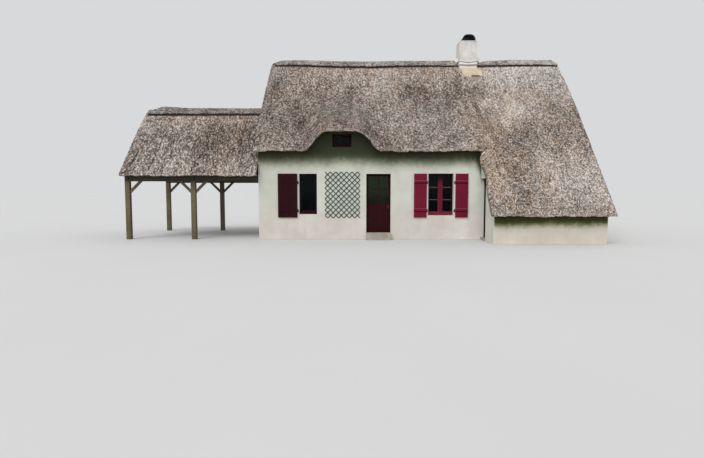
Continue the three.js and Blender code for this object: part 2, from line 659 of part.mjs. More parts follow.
function shelterFrame() {
  for (const [row, y] of [['front', POSTS.front], ['rear', POSTS.rear]]) {
    bracedPost(`shelter_post_${row}_left`, POSTS.left, y, [1]);
    bracedPost(`shelter_post_${row}_middle`, POSTS.middle, y, [-1, 1]);
    plate(`shelter_plate_${row}`, y);
  }
  const { half, bottom, top } = RIDGE_POLE;
  const pole = block(POSTS.left - half, wingRight, WING.ridgeY - half, WING.ridgeY + half, bottom, top);
  const timbers = join(pole, ...truss(POSTS.left), ...truss(POSTS.middle));
  const seats = [plateSeat(POSTS.front), plateSeat(POSTS.rear)];
  const frame = carve(timbers, skyOver(wingFrontCoat), skyOver(wingRearCoat), ...seats);
  add('shelter_roof_frame', frame, RAW_TIMBER);
}

walls();
outshutWalls();
floors();
doors();
windows();
shutter('shutter_window_1', SHUTTER_1);
shutter('shutter_window_2_left', SHUTTER_2_LEFT);
shutter('shutter_window_2_right', SHUTTER_2_RIGHT);
trellis();
mainRoof();
chimney();
shelterRoof();
shelterFrame();

// The origin is the middle of the whole building at ground level
const MIDDLE_X = (WING.left + VERGE.right) / 2;
const MIDDLE_Y = (CATSLIDE.eaveY + HOUSE.rear + EAVE.reach) / 2;
house.position.set(-MIDDLE_X, -MIDDLE_Y, 0);

const cottage = new THREE.Group();
cottage.add(house);
export default cottage;
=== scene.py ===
"""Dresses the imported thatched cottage: reed roofs, lime render, painted joinery, light and camera."""
import json
import math

import bmesh
import bpy
import numpy as np
from mathutils import Matrix, Vector


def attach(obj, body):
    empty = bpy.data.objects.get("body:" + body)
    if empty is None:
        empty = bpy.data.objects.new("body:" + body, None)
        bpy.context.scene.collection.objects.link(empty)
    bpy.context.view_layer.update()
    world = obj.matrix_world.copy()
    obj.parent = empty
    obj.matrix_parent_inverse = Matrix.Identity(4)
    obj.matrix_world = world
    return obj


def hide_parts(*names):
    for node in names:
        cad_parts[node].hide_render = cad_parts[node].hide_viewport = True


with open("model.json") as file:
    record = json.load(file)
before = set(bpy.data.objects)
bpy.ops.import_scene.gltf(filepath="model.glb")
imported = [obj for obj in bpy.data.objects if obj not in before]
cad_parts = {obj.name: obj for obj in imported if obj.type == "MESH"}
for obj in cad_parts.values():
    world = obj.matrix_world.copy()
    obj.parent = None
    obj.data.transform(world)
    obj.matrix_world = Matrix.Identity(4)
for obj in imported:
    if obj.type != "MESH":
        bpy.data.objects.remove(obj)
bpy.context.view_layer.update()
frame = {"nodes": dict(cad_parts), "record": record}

# Lengths are metres in the house's own frame: X = 0 on the camera's axis, Y = 0 at the outer face of the
# front wall, Z = 0 on the lowest ground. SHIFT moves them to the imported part's frame.
SHIFT = Vector((-0.145, -2.1, 0.0))
HOUSE = "house"

# Main roof
THATCH_DEPTH = 0.328
RIDGE_Y, RIDGE_Z, SLOPE = 3.0, 7.1, 1.094
ROOF_DEPTH = THATCH_DEPTH * math.hypot(1, SLOPE)
EAVE_Y, REAR_EAVE_Y = -0.42, 6.42
MAIN_REACH = RIDGE_Y - EAVE_Y
VERGE_LEFT, VERGE_RIGHT = -3.57, 8.72
UNDERSIDE_LEAN = 0.45
CATSLIDE_X, KINK_Y, CATSLIDE_SLOPE, CATSLIDE_EAVE_Y = 4.58, 1.5, 1.185, -2.22
CATSLIDE_REACH = RIDGE_Y - CATSLIDE_EAVE_Y
BLEND, DROP, TUCK = 0.88, 0.3, 0.06
BROW_X, BROW_FLAT, BROW_HALF, BROW_RISE, BROW_RUN, BROW_FULLNESS = -0.36, 0.3, 1.42, 0.71, 1.9, 1.5
VERGE_ROUND, WING_VERGE_ROUND, EAVE_ROUND = 0.10, 0.09, 0.03
CATSLIDE_LAP = 0.18

# Wing roof
WING_LEFT, WING_RIGHT = -8.43, -3.45
WING_RIDGE_Y, WING_RIDGE_Z, WING_SLOPE = 2.2, 5.09, 1.027
WING_REACH = WING_RIDGE_Y + 0.36
WING_DEPTH = THATCH_DEPTH * math.hypot(1, WING_SLOPE)

# How far down its cut end the reed of an eave drops before it runs back, as a share of the depth
NOSE, CATSLIDE_NOSE, WING_NOSE = 0.315, 0.20, 0.28

# Cells of the reed's surface, along an eave and down a slope
FINE_CELL, WING_CELL, REAR_CELL = (0.0225, 0.0165), (0.024, 0.0178), (0.034, 0.025)

# Straw caps: height of the crest over the reed, half width, height of the lower edge's lip, and how far the
# foot of a left end stands in from the verge and its crest from the foot
CAP_CREST, CAP_HALF, WING_CAP_HALF, CAP_LIP = 0.128, 0.122, 0.224, 0.066
CAP_INSET, CAP_SLANT = 0.27, 0.35
WING_CAP_INSET, WING_CAP_SLANT = 0.14, 0.50

# Chimney
STACK_LEFT, STACK_RIGHT, STACK_FRONT, STACK_REAR, STACK_TOP = 4.44, 5.15, 2.62, 3.37, 7.958


# numbers
def smooth(value):
    t = np.clip(value, 0.0, 1.0)
    return t * t * (3 - 2 * t)


def mix(a, b, share):
    return a + (b - a) * share


def bell(*offsets):
    """1 where every offset is 0, fading to nothing beyond 2."""
    return np.exp(-sum(offset ** 2 for offset in offsets))


def noise(x, y, seed):
    """Smooth noise between -1 and 1 with one cell for each unit of x and y."""
    table = np.random.default_rng(seed).uniform(-1, 1, (256, 256))
    xi, yi = np.floor(x).astype(int), np.floor(y).astype(int)
    fx, fy = smooth(x - xi), smooth(y - yi)
    low = mix(table[xi % 256, yi % 256], table[(xi + 1) % 256, yi % 256], fx)
    high = mix(table[xi % 256, (yi + 1) % 256], table[(xi + 1) % 256, (yi + 1) % 256], fx)
    return mix(low, high, fy)


def grid(*coordinates):
    return np.stack(np.broadcast_arrays(*coordinates), -1)


# pieces
def add_piece(name, mesh, material, stands_for=(), body=HOUSE, smooth_faces=True):
    mesh.materials.append(material)
    mesh.polygons.foreach_set("use_smooth", [smooth_faces] * len(mesh.polygons))
    obj = bpy.data.objects.new(name, mesh)
    bpy.context.scene.collection.objects.link(obj)
    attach(obj, body)
    if stands_for:
        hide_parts(*stands_for)


def add_sheet(name, points, looks, material, stands_for=(), flip=False):
    """A piece from a grid of points, rows by columns, with looks as point attributes."""
    rows, columns = points.shape[:2]
    index = np.arange(rows * columns).reshape(rows, columns)
    quads = np.stack([index[:-1, :-1], index[:-1, 1:], index[1:, 1:], index[1:, :-1]], -1).reshape(-1, 4)
    mesh = bpy.data.meshes.new(name)
    mesh.vertices.add(rows * columns)
    mesh.vertices.foreach_set("co", (points.reshape(-1, 3) + np.array(SHIFT)).ravel())
    mesh.loops.add(quads.size)
    mesh.loops.foreach_set("vertex_index", quads.ravel())
    mesh.polygons.add(len(quads))
    mesh.polygons.foreach_set("loop_start", np.arange(len(quads)) * 4)
    mesh.update(calc_edges=True)
    for key, values in looks.items():
        flat = np.ascontiguousarray(np.broadcast_to(values, points.shape[:2] + values.shape[2:]), float)
        kind, field = ("FLOAT_VECTOR", "vector") if flat.ndim == 3 else ("FLOAT", "value")
        mesh.attributes.new(key, kind, "POINT").data.foreach_set(field, flat.ravel())
    if flip:
        mesh.flip_normals()
    add_piece(name, mesh, material, stands_for)


class Joinery:
    """Collects boxes and bars with rounded arrises into one piece, each with a tone of its own."""

    def __init__(self, seed):
        self.bm = bmesh.new()
        self.tone = self.bm.verts.layers.float.new("tone")
        self.random = np.random.default_rng(seed)

    def toned(self, verts):
        tone = self.random.uniform(-1, 1)
        for vert in verts:
            vert[self.tone] = tone

    def box(self, x0, x1, y0, y1, z0, z1, arris=0.003):
        """A box between two values of each coordinate, in either order."""
        spans = [sorted(pair) for pair in ((x0, x1), (y0, y1), (z0, z1))]
        size = Matrix.Diagonal([high - low for low, high in spans] + [1])
        middle = Matrix.Translation([(low + high) / 2 for low, high in spans])
        verts = bmesh.ops.create_cube(self.bm, size=1, matrix=middle @ size)["verts"]
        edges = {edge for vert in verts for edge in vert.link_edges}
        bevelled = bmesh.ops.bevel(
            self.bm, geom=list(edges), offset=arris, segments=2, profile=0.6, affect="EDGES",
        )
        self.toned(bevelled["verts"])

    def rod(self, start, end, radius, radius_end=None, sides=12):
        start, end = Vector(start), Vector(end)
        along = end - start
        place = Matrix.Translation((start + end) / 2) @ along.to_track_quat("Z", "Y").to_matrix().to_4x4()
        made = bmesh.ops.create_cone(
            self.bm, cap_ends=True, segments=sides, radius1=radius,
            radius2=radius if radius_end is None else radius_end, depth=along.length, matrix=place,
        )
        self.toned(made["verts"])

    def piece(self, name, material, slot, stands_for=(), body=HOUSE, smooth_faces=False):
        """Makes the piece, if anything was put into it."""
        if self.bm.verts:
            mesh = bpy.data.meshes.new(name)
            bmesh.ops.translate(self.bm, verts=self.bm.verts, vec=SHIFT)
            bmesh.ops.recalc_face_normals(self.bm, faces=self.bm.faces)
            self.bm.to_mesh(mesh)
            add_piece(name, mesh, material, stands_for, body, smooth_faces)
        self.bm.free()


# materials
class Shader:
    """A material whose nodes are made one call at a time."""

    def __init__(self, name, roughness=0.9, **constants):
        self.material = bpy.data.materials.new(name)
        self.material.use_nodes = True
        self.tree = self.material.node_tree
        self.surface = self.tree.nodes["Principled BSDF"]
        self.surface.inputs["Roughness"].default_value = roughness
        for key, value in constants.items():
            self.surface.inputs[key.replace("_", " ")].default_value = value
        self.place = self.node("ShaderNodeTexCoord").outputs["Object"]

    def node(self, kind, inputs=None, **settings):
        made = self.tree.nodes.new(kind)
        for key, value in settings.items():
            setattr(made, key, value)
        for key, value in (inputs or {}).items():
            if isinstance(value, bpy.types.NodeSocket):
                self.tree.links.new(value, made.inputs[key])
            else:
                made.inputs[key].default_value = value
        return made

    def attribute(self, name, output="Fac"):
        return self.node("ShaderNodeAttribute", attribute_name=name).outputs[output]

    def axis(self, key):
        return self.node("ShaderNodeSeparateXYZ", {"Vector": self.place}).outputs[key]

    def stretch(self, scale, source=None):
        inputs = {"Vector": source or self.place, "Scale": scale}
        return self.node("ShaderNodeMapping", inputs).outputs["Vector"]

    def noise(self, scale, detail, roughness=0.5, source=None, distortion=0.0):
        """Fractal noise, stretched where the scale is three numbers."""
        if isinstance(scale, tuple):
            source, scale = self.stretch(scale, source), 1.0
        inputs = {
            "Vector": source or self.place, "Scale": scale, "Detail": detail,
            "Roughness": roughness, "Distortion": distortion,
        }
        return self.node("ShaderNodeTexNoise", inputs).outputs["Fac"]

    def dots(self, scale, source=None, output="Distance"):
        inputs = {"Vector": source or self.place, "Scale": scale}
        return self.node("ShaderNodeTexVoronoi", inputs).outputs[output]

    def math(self, operation, a, b):
        return self.node("ShaderNodeMath", {0: a, 1: b}, operation=operation).outputs[0]

    def add(self, first, *others):
        for value in others:
            first = self.math("ADD", first, value)
        return first

    def times(self, a, b):
        return self.math("MULTIPLY", a, b)

    def spread(self, value, low, high, to_low=0.0, to_high=1.0):
        inputs = {"Value": value, "From Min": low, "From Max": high, "To Min": to_low, "To Max": to_high}
        return self.node("ShaderNodeMapRange", inputs).outputs["Result"]

    def swing(self, value, to_low, to_high):
        """Takes the middle range of a noise to other limits."""
        return self.spread(value, 0.3, 0.7, to_low, to_high)

    def ramp(self, value, stops):
        made = self.node("ShaderNodeValToRGB", {"Fac": value})
        elements = made.color_ramp.elements
        while len(elements) < len(stops):
            elements.new(0.5)
        for element, (position, colour) in zip(elements, stops):
            element.position = position
            element.color = (*colour, 1)
        return made.outputs["Color"]

    def blend(self, share, a, b, kind="MIX"):
        a, b = (c if isinstance(c, bpy.types.NodeSocket) else (*c, 1) for c in (a, b))
        inputs = {0: share, 6: a, 7: b}
        return self.node("ShaderNodeMix", inputs, data_type="RGBA", blend_type=kind).outputs[2]

    def stain(self, colour, tint, value, low, high, most=1.0):
        """Tints colour, not at all where value is low and by the share most where it is high."""
        return self.blend(self.spread(value, low, high, 0.0, most), colour, tint, "MULTIPLY")

    def relief(self, value, strength, distance):
        bump = self.node("ShaderNodeBump", {"Height": value, "Strength": strength, "Distance": distance})
        self.tree.links.new(bump.outputs["Normal"], self.surface.inputs["Normal"])

    def shown(self, colour, roughness=None):
        self.tree.links.new(colour, self.surface.inputs["Base Color"])
        if roughness is not None:
            self.tree.links.new(roughness, self.surface.inputs["Roughness"])
        return self.material


def thatch_material(name, stops, warm, grey):
    """Dressed reed: a brightness for each bunch of ends, painted shade in the gaps between bunches, fine
    stems, warm and grey patches.
    """
    shader = Shader(name, 0.95, Specular_IOR_Level=0.15)
    reed = shader.attribute("reed", "Vector")
    bunches = shader.stretch((28.0, 30.0, 1.0), reed)
    bunch = shader.node("ShaderNodeSeparateColor", {"Color": shader.dots(1.0, bunches, "Color")})
    gaps = shader.dots(1.0, bunches)
    fine = shader.noise((36.0, 38.0, 1.0), 2.0, 0.75, reed)
    stems = shader.noise((120.0, 14.0, 1.0), 2.0, source=reed)
    tone = shader.attribute("tone")
    # The gaps term paints shade between the bunches.
    for value, low, high, darkest, lightest in (
        (bunch.outputs["Red"], 0.0, 1.0, -0.26, 0.26), (gaps, 0.2, 0.8, 0.06, -0.12),
        (fine, 0.32, 0.68, -0.32, 0.32), (stems, 0.3, 0.7, -0.05, 0.05),
    ):
        tone = shader.add(tone, shader.spread(value, low, high, darkest, lightest))
    colour = shader.ramp(tone, stops)
    tint = shader.add(shader.attribute("tint"), shader.spread(bunch.outputs["Green"], 0.0, 1.0, -0.4, 0.4))
    colour = shader.stain(colour, warm, tint, 0.0, 1.0, 0.75)
    colour = shader.stain(colour, grey, tint, 0.0, -1.0, 0.75)
    shader.relief(shader.math("SUBTRACT", fine, gaps), 0.55, 0.014)
    return shader.shown(colour)


def under_eave_shade(shader, colour, painted_shade, corner, front, flank):
    """Darkens render under an eave with painted shade and algae, given as a list of heights and tints. The
    painted shade comes lower towards corner, lies only before front on a wall seen end on, and leaves the
    face that looks to the left at flank free of it and tinted a little greenish."""
    # Painted shade with algae: a ragged band under the eave, near black at the top.
    waves = shader.swing(shader.noise((1.1, 1.1, 0.8), 3.0, 0.55), -0.05, 0.05)
    blots = shader.swing(shader.noise(7.0, 4.0, 0.65), -0.035, 0.035)
    edge = shader.add(shader.axis("Z"), waves, blots)
    if corner is not None:
        # Towards the corner the painted shade comes lower, standing for the shade of the outshut.
        near = shader.spread(shader.axis("X"), corner - 0.30, corner, 0.0, 0.75)
        edge = shader.add(edge, shader.times(near, near))
        # Painted light: away from the corner the render is painted darker, so the wall near the corner,
        # shaded by the outshut, reads as bright as the rest.
        colour = shader.stain(colour, (0.83, 0.83, 0.82), shader.axis("X"), corner - 0.7, corner - 1.4)
    if front is not None:
        behind = shader.spread(shader.axis("Y"), front, front + 0.03, 0.0, 9.0)
        edge = shader.math("SUBTRACT", edge, behind)
    low, high = painted_shade[0][0], painted_shade[-1][0]
    stops = [((height - low) / (high - low), tint) for height, tint in painted_shade]
    tint = shader.ramp(shader.spread(edge, low, high), stops)
    if flank is not None:
        side = shader.spread(shader.axis("X"), flank, flank + 0.01, 1.0, 0.0)
        tint = shader.blend(side, tint, (0.96, 1.01, 0.99))
    return shader.blend(1.0, colour, tint, "MULTIPLY")


def render_material(name, painted_shade=None, corner=None, front=None, flank=None):
    """Lime render: pinkish white low down, greyer above, with streaks, drips and specks, and painted shade
    with algae under an eave where heights and tints for it are given.
    """
    shader = Shader(name, 0.93, Specular_IOR_Level=0.2)
    mottle = shader.noise(1.7, 5.0, 0.62)
    ragged = shader.swing(shader.noise(2.4, 4.0, 0.65), -0.2, 0.2)
    low = shader.ramp(mottle, [(0.3, (0.645, 0.590, 0.535)), (0.7, (0.740, 0.700, 0.655))])
    high = shader.ramp(mottle, [(0.3, (0.600, 0.605, 0.530)), (0.7, (0.720, 0.725, 0.650))])
    colour = shader.blend(shader.spread(shader.add(shader.axis("Z"), ragged), 0.75, 1.5), low, high)
    streaks, drips = shader.noise((3.2, 3.2, 0.35), 4.0), shader.noise((9.0, 9.0, 1.4), 3.0)
    colour = shader.stain(colour, (0.84, 0.84, 0.80), streaks, 0.52, 0.72, 0.28)
    colour = shader.stain(colour, (0.74, 0.72, 0.66), drips, 0.6, 0.75, 0.18)
    if painted_shade:
        colour = under_eave_shade(shader, colour, painted_shade, corner, front, flank)
    colour = shader.stain(colour, (0.45, 0.43, 0.38), shader.dots(9.0), 0.09, 0.03, 0.35)
    grain, trowel = shader.noise(38.0, 4.0, 0.6), shader.noise(4.5, 3.0)
    shader.relief(shader.add(shader.times(trowel, 1.6), shader.times(grain, 0.35)), 0.35, 0.02)
    return shader.shown(colour)


def paint_material(name, deep, fresh, worn, roughness=0.6, shaded_from=None):
    """Oil paint on joinery: a tone for each board, faint brush lines, chalking and worn arrises. Above the
    height in its last argument it turns black in the course of 0.22 m, painted shade under the head of an
    opening."""
    shader = Shader(name, roughness, Specular_IOR_Level=0.06)
    board = shader.spread(shader.attribute("tone"), -1, 1, -0.12, 0.12)
    brush = shader.noise((90.0, 90.0, 3.0), 4.0, 0.6)
    fade = shader.noise(3.1, 4.0, 0.65)
    share = shader.add(board, shader.swing(fade, 0.2, 0.8), shader.swing(brush, -0.12, 0.12))
    colour = shader.blend(share, deep, fresh)
    flakes = shader.noise(46.0, 5.0, 0.7)
    colour = shader.blend(shader.spread(flakes, 0.66, 0.74, 0.0, 0.55), colour, worn)
    # Painted shade under the head of an opening, above the given height.
    if shaded_from is not None:
        head_shade = shader.spread(shader.axis("Z"), shaded_from, shaded_from + 0.22, 0.0, 0.9)
        colour = shader.blend(head_shade, colour, (0.012, 0.007, 0.009))
    shader.relief(shader.add(brush, shader.times(flakes, 0.4)), 0.22, 0.002)
    return shader.shown(colour, shader.swing(fade, roughness - 0.1, roughness + 0.14))


def timber_material(name, dark, light, stretch=(5.0, 5.0, 60.0)):
    """Bare weathered oak; the larger an axis's number in stretch, the finer the grain along it."""
    shader = Shader(name, 0.88)
    grain = shader.noise(stretch, 5.0, 0.65, distortion=1.5)
    cloud = shader.noise(1.3, 3.0)
    tone = shader.add(shader.swing(grain, 0.0, 0.8), shader.swing(cloud, -0.2, 0.3))
    colour = shader.blend(tone, dark, light)
    cracks = shader.spread(grain, 0.36, 0.3, 0.0, 0.7)
    colour = shader.blend(cracks, colour, tuple(0.3 * c for c in dark))
    shader.relief(grain, 0.6, 0.006)
    return shader.shown(colour)


def stone_material(name, stops, scale=3.0):
    """Stone or mortar, with painted shade where the tone of its points is 1."""
    shader = Shader(name, 0.9)
    cloud = shader.noise(scale, 6.0, 0.65)
    grain = shader.noise(scale * 14, 4.0, 0.7)
    share = shader.add(shader.times(cloud, 0.7), shader.times(grain, 0.3))
    shader.relief(shader.add(cloud, shader.times(grain, 0.5)), 0.4, 0.01)
    painted_shade = shader.attribute("tone")
    return shader.shown(shader.stain(shader.ramp(share, stops), (0.28, 0.26, 0.25), painted_shade, 0.0, 1.0, 0.8))


def stack_material():
    """Grey-white render with pinkish patches, upright stains, a left face painted lighter and greener
    against its shade, painted shade in the hollows, and lighter cream where the tone is below 0.
    """
    shader = Shader("stack_render", 0.92, Specular_IOR_Level=0.2)
    cloud = shader.noise(3.4, 5.0, 0.65)
    stains, flecks = shader.noise((13.0, 13.0, 0.9), 4.0, 0.65), shader.noise(31.0, 3.0, 0.7)
    painted_shade, left = shader.attribute("tone"), STACK_LEFT + SHIFT.x
    colour = shader.ramp(cloud, [
        (0.32, (0.54, 0.51, 0.475)), (0.5, (0.65, 0.61, 0.585)), (0.7, (0.71, 0.67, 0.65)),
    ])
    colour = shader.stain(colour, (0.70, 0.71, 0.66), stains, 0.52, 0.68, 0.5)
    colour = shader.stain(colour, (0.66, 0.60, 0.58), flecks, 0.6, 0.7, 0.35)
    # Painted light: the face that looks to the left is painted lighter and greener than its shade allows.
    colour = shader.stain(colour, (1.03, 1.10, 1.08), shader.axis("X"), left + 0.01, left - 0.01)
    # Painted shade in the hollows under the rolls and the rim; below 0 the tone makes the render lighter and
    # creamier.
    colour = shader.stain(colour, (0.10, 0.11, 0.12), painted_shade, 0.0, 1.0, 0.93)
    colour = shader.blend(shader.spread(painted_shade, 0.0, -0.2, 0.0, 0.6), colour, (0.80, 0.77, 0.72))
    shader.relief(shader.add(cloud, shader.times(flecks, 0.4)), 0.35, 0.012)
    return shader.shown(colour)


def metal_material(name, colour, rust, roughness):
    shader = Shader(name, roughness, Metallic=0.3)
    cloud = shader.noise(9.0, 5.0, 0.7)
    mixed = shader.blend(shader.spread(cloud, 0.5, 0.75, 0.0, 0.8), colour, rust)
    shader.relief(shader.add(cloud, shader.noise(120.0, 3.0)), 0.3, 0.002)
    return shader.shown(mixed, shader.swing(cloud, roughness - 0.15, roughness + 0.2))


def glass_material(name, painted_reflection):
    """Old window glass: a dark tint, slightly wavy, whose gloss takes a given colour, a painted reflection
    of what stands in front of it.
    """
    shader = Shader(name)
    shader.tree.nodes.remove(shader.surface)
    waves = {"Height": shader.noise(5.0, 2.0), "Strength": 0.12, "Distance": 0.01}
    wavy = shader.node("ShaderNodeBump", waves).outputs["Normal"]
    gloss = shader.node("ShaderNodeBsdfGlossy", {"Color": (*painted_reflection, 1), "Roughness": 0.06, "Normal": wavy})
    clear = shader.node("ShaderNodeBsdfTransparent", {"Color": (0.22, 0.25, 0.26, 1)})
    edge = shader.node("ShaderNodeFresnel", {"IOR": 1.45, "Normal": wavy})
    both = shader.node("ShaderNodeMixShader", {0: edge.outputs[0], 1: clear.outputs[0], 2: gloss.outputs[0]})
    shader.tree.links.new(both.outputs[0], shader.tree.nodes["Material Output"].inputs["Surface"])
    return shader.material


THATCH = thatch_material("weathered_reed", [
    (0.0, (0.030, 0.023, 0.019)), (0.28, (0.105, 0.083, 0.070)), (0.5, (0.250, 0.207, 0.178)),
    (0.72, (0.440, 0.385, 0.345)), (1.0, (0.700, 0.645, 0.590)),
], (0.95, 0.80, 0.66), (0.80, 0.84, 0.86))
RIDGE_STRAW = thatch_material("ridge_straw", [
    (0.0, (0.035, 0.031, 0.028)), (0.3, (0.120, 0.108, 0.098)), (0.5, (0.245, 0.226, 0.208)),
    (0.75, (0.400, 0.375, 0.350)), (1.0, (0.620, 0.590, 0.555)),
], (0.95, 0.86, 0.74), (0.82, 0.87, 0.90))
# Painted shade under the main eaves, tinted green by algae: tints by height, near black at the top.
EAVE_SHADE_AND_ALGAE = (
    (2.49, (1.0, 1.0, 1.0)), (2.63, (0.88, 0.89, 0.85)), (2.71, (0.73, 0.745, 0.69)),
    (2.785, (0.53, 0.55, 0.47)), (2.855, (0.36, 0.38, 0.31)), (2.925, (0.23, 0.25, 0.18)),
    (3.00, (0.125, 0.140, 0.092)), (3.07, (0.080, 0.090, 0.050)), (3.20, (0.056, 0.064, 0.034)),
)
# Painted shade under the outshut's eave, tinted green by algae.
OUTSHUT_SHADE_AND_ALGAE = (
    (0.43, (0.87, 0.86, 0.79)), (0.53, (0.83, 0.83, 0.74)), (0.61, (0.62, 0.64, 0.51)),
    (0.68, (0.32, 0.35, 0.20)), (0.75, (0.115, 0.14, 0.045)), (0.82, (0.070, 0.090, 0.022)),
    (1.00, (0.045, 0.050, 0.014)),
)
RENDER = render_material("lime_render")
FRONT_RENDER = render_material("lime_render_under_eave", EAVE_SHADE_AND_ALGAE, corner=4.62)
REAR_RENDER = render_material("lime_render_rear", EAVE_SHADE_AND_ALGAE)
OUTSHUT_RENDER = render_material("lime_render_outshut", OUTSHUT_SHADE_AND_ALGAE, flank=4.622)
OUTSHUT_END_RENDER = render_material("lime_render_outshut_end", OUTSHUT_SHADE_AND_ALGAE, front=-3.88)
CHALKY_RED = (0.30, 0.12, 0.13)
JOINERY_PAINT = paint_material("burgundy_joinery", (0.145, 0.019, 0.036), (0.205, 0.028, 0.050), CHALKY_RED)
# The mullion darkens near its top with painted shade under the window's head.
MULLION_PAINT = paint_material("mullion_burgundy", (0.110, 0.0095, 0.021), (0.150, 0.0145, 0.029),
                               CHALKY_RED, shaded_from=2.05)
# Pale pinkish grey bars: faded paint, and painted highlight for the light that thin bars catch.
BAR_PAINT = paint_material("faded_and_highlit_bars", (0.100, 0.050, 0.060), (0.150, 0.085, 0.095), (0.30, 0.20, 0.20))
# Lighter burgundy: painted highlight on the tops of the shutter battens.
HIGHLIGHT_PAINT = paint_material("painted_highlight_edges", (0.170, 0.036, 0.052), (0.240, 0.060, 0.080), (0.36, 0.20, 0.20))
# The joinery burgundy, darkened: painted shade on the doors and their frames, the loft and rear windows, the
# first window's rails and the strips under the other shutters' battens.
SHADED_JOINERY_PAINT = paint_material("shaded_burgundy_joinery", (0.018, 0.0028, 0.0044), (0.033, 0.0046, 0.0072),
                            (0.08, 0.04, 0.04))
# Joinery paint darkened to near black: painted shade on the front windows' frames and casings, and painted
# shadow under the first shutter's battens.
SHADE_BLACK_PAINT = paint_material("painted_shade_black", (0.010, 0.005, 0.006), (0.024, 0.008, 0.011),
                            (0.06, 0.03, 0.03))
SHUTTER_PAINT = paint_material("burgundy_shutters", (0.128, 0.0068, 0.0225), (0.176, 0.0115, 0.033),
                               (0.33, 0.12, 0.14))
# The shutter burgundy darkened: painted shade on the first window's shutter.
SHADED_SHUTTER_PAINT = paint_material("shaded_burgundy_shutter", (0.015, 0.0030, 0.0042), (0.028, 0.0046, 0.0070),
                                   (0.07, 0.035, 0.035))
TRELLIS_PAINT = paint_material("green_trellis_paint", (0.012, 0.034, 0.028), (0.028, 0.070, 0.056),
                               (0.12, 0.115, 0.09), 0.7)
TIMBER = timber_material("weathered_timber", (0.055, 0.040, 0.021), (0.165, 0.135, 0.075))
SHADED_TIMBER = timber_material("shaded_timber", (0.018, 0.014, 0.009), (0.058, 0.046, 0.030),
                                (4.0, 40.0, 40.0))
BOARDS = timber_material("floor_boards", (0.14, 0.085, 0.045), (0.30, 0.20, 0.12), (2.5, 40.0, 40.0))
FLAGSTONE = stone_material("worn_flagstone", [
    (0.3, (0.22, 0.19, 0.15)), (0.5, (0.34, 0.31, 0.26)), (0.7, (0.46, 0.43, 0.37)),
])
MORTAR = stone_material("cream_mortar", [
    (0.3, (0.43, 0.33, 0.22)), (0.5, (0.56, 0.45, 0.32)), (0.7, (0.66, 0.55, 0.42)),
], 6.0)
OLD_MORTAR = stone_material("old_grey_mortar", [
    (0.3, (0.21, 0.170, 0.150)), (0.5, (0.28, 0.23, 0.205)), (0.7, (0.34, 0.285, 0.255)),
], 6.0)
STACK_RENDER = stack_material()
DARK_METAL = metal_material("blackened_sheet", (0.026, 0.040, 0.066), (0.034, 0.040, 0.056), 0.65)
# Dim gloss: a painted reflection of dark surroundings in the window glass.
GLASS = glass_material("window_glass", (0.12, 0.14, 0.15))
# Green gloss: a painted reflection of garden greenery in the door's glass.
DOOR_GLASS = glass_material("door_glass", (0.36, 0.50, 0.30))


# thatch
def main_top(y):
    return RIDGE_Z - SLOPE * np.abs(RIDGE_Y - y)


def catslide_top(y):
    below = main_top(KINK_Y) - CATSLIDE_SLOPE * (KINK_Y - y)
    return np.where(y < KINK_Y, below, main_top(y))


def wing_top(y):
    return WING_RIDGE_Z - WING_SLOPE * np.abs(WING_RIDGE_Y - y)


def brow_lift(x, share):
    away = np.clip((np.abs(x - BROW_X) - BROW_FLAT) / (BROW_HALF - BROW_FLAT), 0, 1)
    arch = 0.5 * (1 + np.cos(np.pi * away ** BROW_FULLNESS))
    return BROW_RISE * arch * (1 - smooth(share * MAIN_REACH / BROW_RUN))


def catslide_lift(x, y):
    eave_y = np.maximum(y, EAVE_Y)
    beside = 1 - smooth((x - CATSLIDE_X) / BLEND)
    below = 1 - smooth((EAVE_Y - y) / DROP)
    return (main_top(eave_y) - catslide_top(eave_y)) * beside * below


def ridge_sag(x, y):
    """The old ridge dips towards the stack and climbs past it; the dip fades out down both slopes."""
    dip = np.interp(x, [-3.6, -2.0, -0.6, 1.0, 1.9, 4.4, 5.5, 6.8, 8.8],
                    [0.040, 0.040, -0.005, -0.02, 0.012, 0.024, 0.012, 0.052, 0.045])
    return dip * (1 - smooth(np.abs(RIDGE_Y - y) / 2.6))


def wing_crest_sag(x, y):
    """The wing's cap flattens to the right of its hip."""
    return -0.055 * smooth((x + 7.7) / 1.3) * (1 - smooth(np.abs(WING_RIDGE_Y - y) / WING_CAP_HALF))


def stack_dressing(x, y):
    """Reed heaped against the front left foot of the stack."""
    return 0.17 * bell((x - STACK_LEFT + 0.01) / 0.11, (y - STACK_FRONT + 0.04) / 0.15)


def verge_bite(x, y):
    """The catslide's open left verge starts a little in from the main eave's end and is drawn in lower down,
    where it passes the wall over the side door."""
    drawn = np.interp(y, [-1.9, -1.35, -1.15, -0.95, -0.7, -0.5], [0.0, 0.0, 0.07, 0.085, 0.05, 0.025])
    notch = 0.13 * smooth((y - EAVE_Y + 0.06) / 0.05) * (1 - smooth((y - 0.25) / 0.3))
    return (drawn * smooth((EAVE_Y - y) / 0.03) + notch) * smooth((CATSLIDE_X + 0.5 - x) / 0.5)


def verge_hook(x, y, share):
    """The catslide's verge bulges at its lip and hollows below it where it starts under the main eave."""
    out = np.interp(share, [0, 0.08, 0.25, 0.43, 0.67, 0.86, 1.0],
                    [0.085, 0.075, 0.01, -0.035, -0.03, -0.005, 0.04])
    return (out * smooth((y + 0.85) / 0.25) * (1 - smooth((y - EAVE_Y) / 0.05))
            * smooth((CATSLIDE_X + 0.25 - x) / 0.25))


def drift(u, s):
    return 0.35 * noise(u * 1.7, s * 1.1, 11)


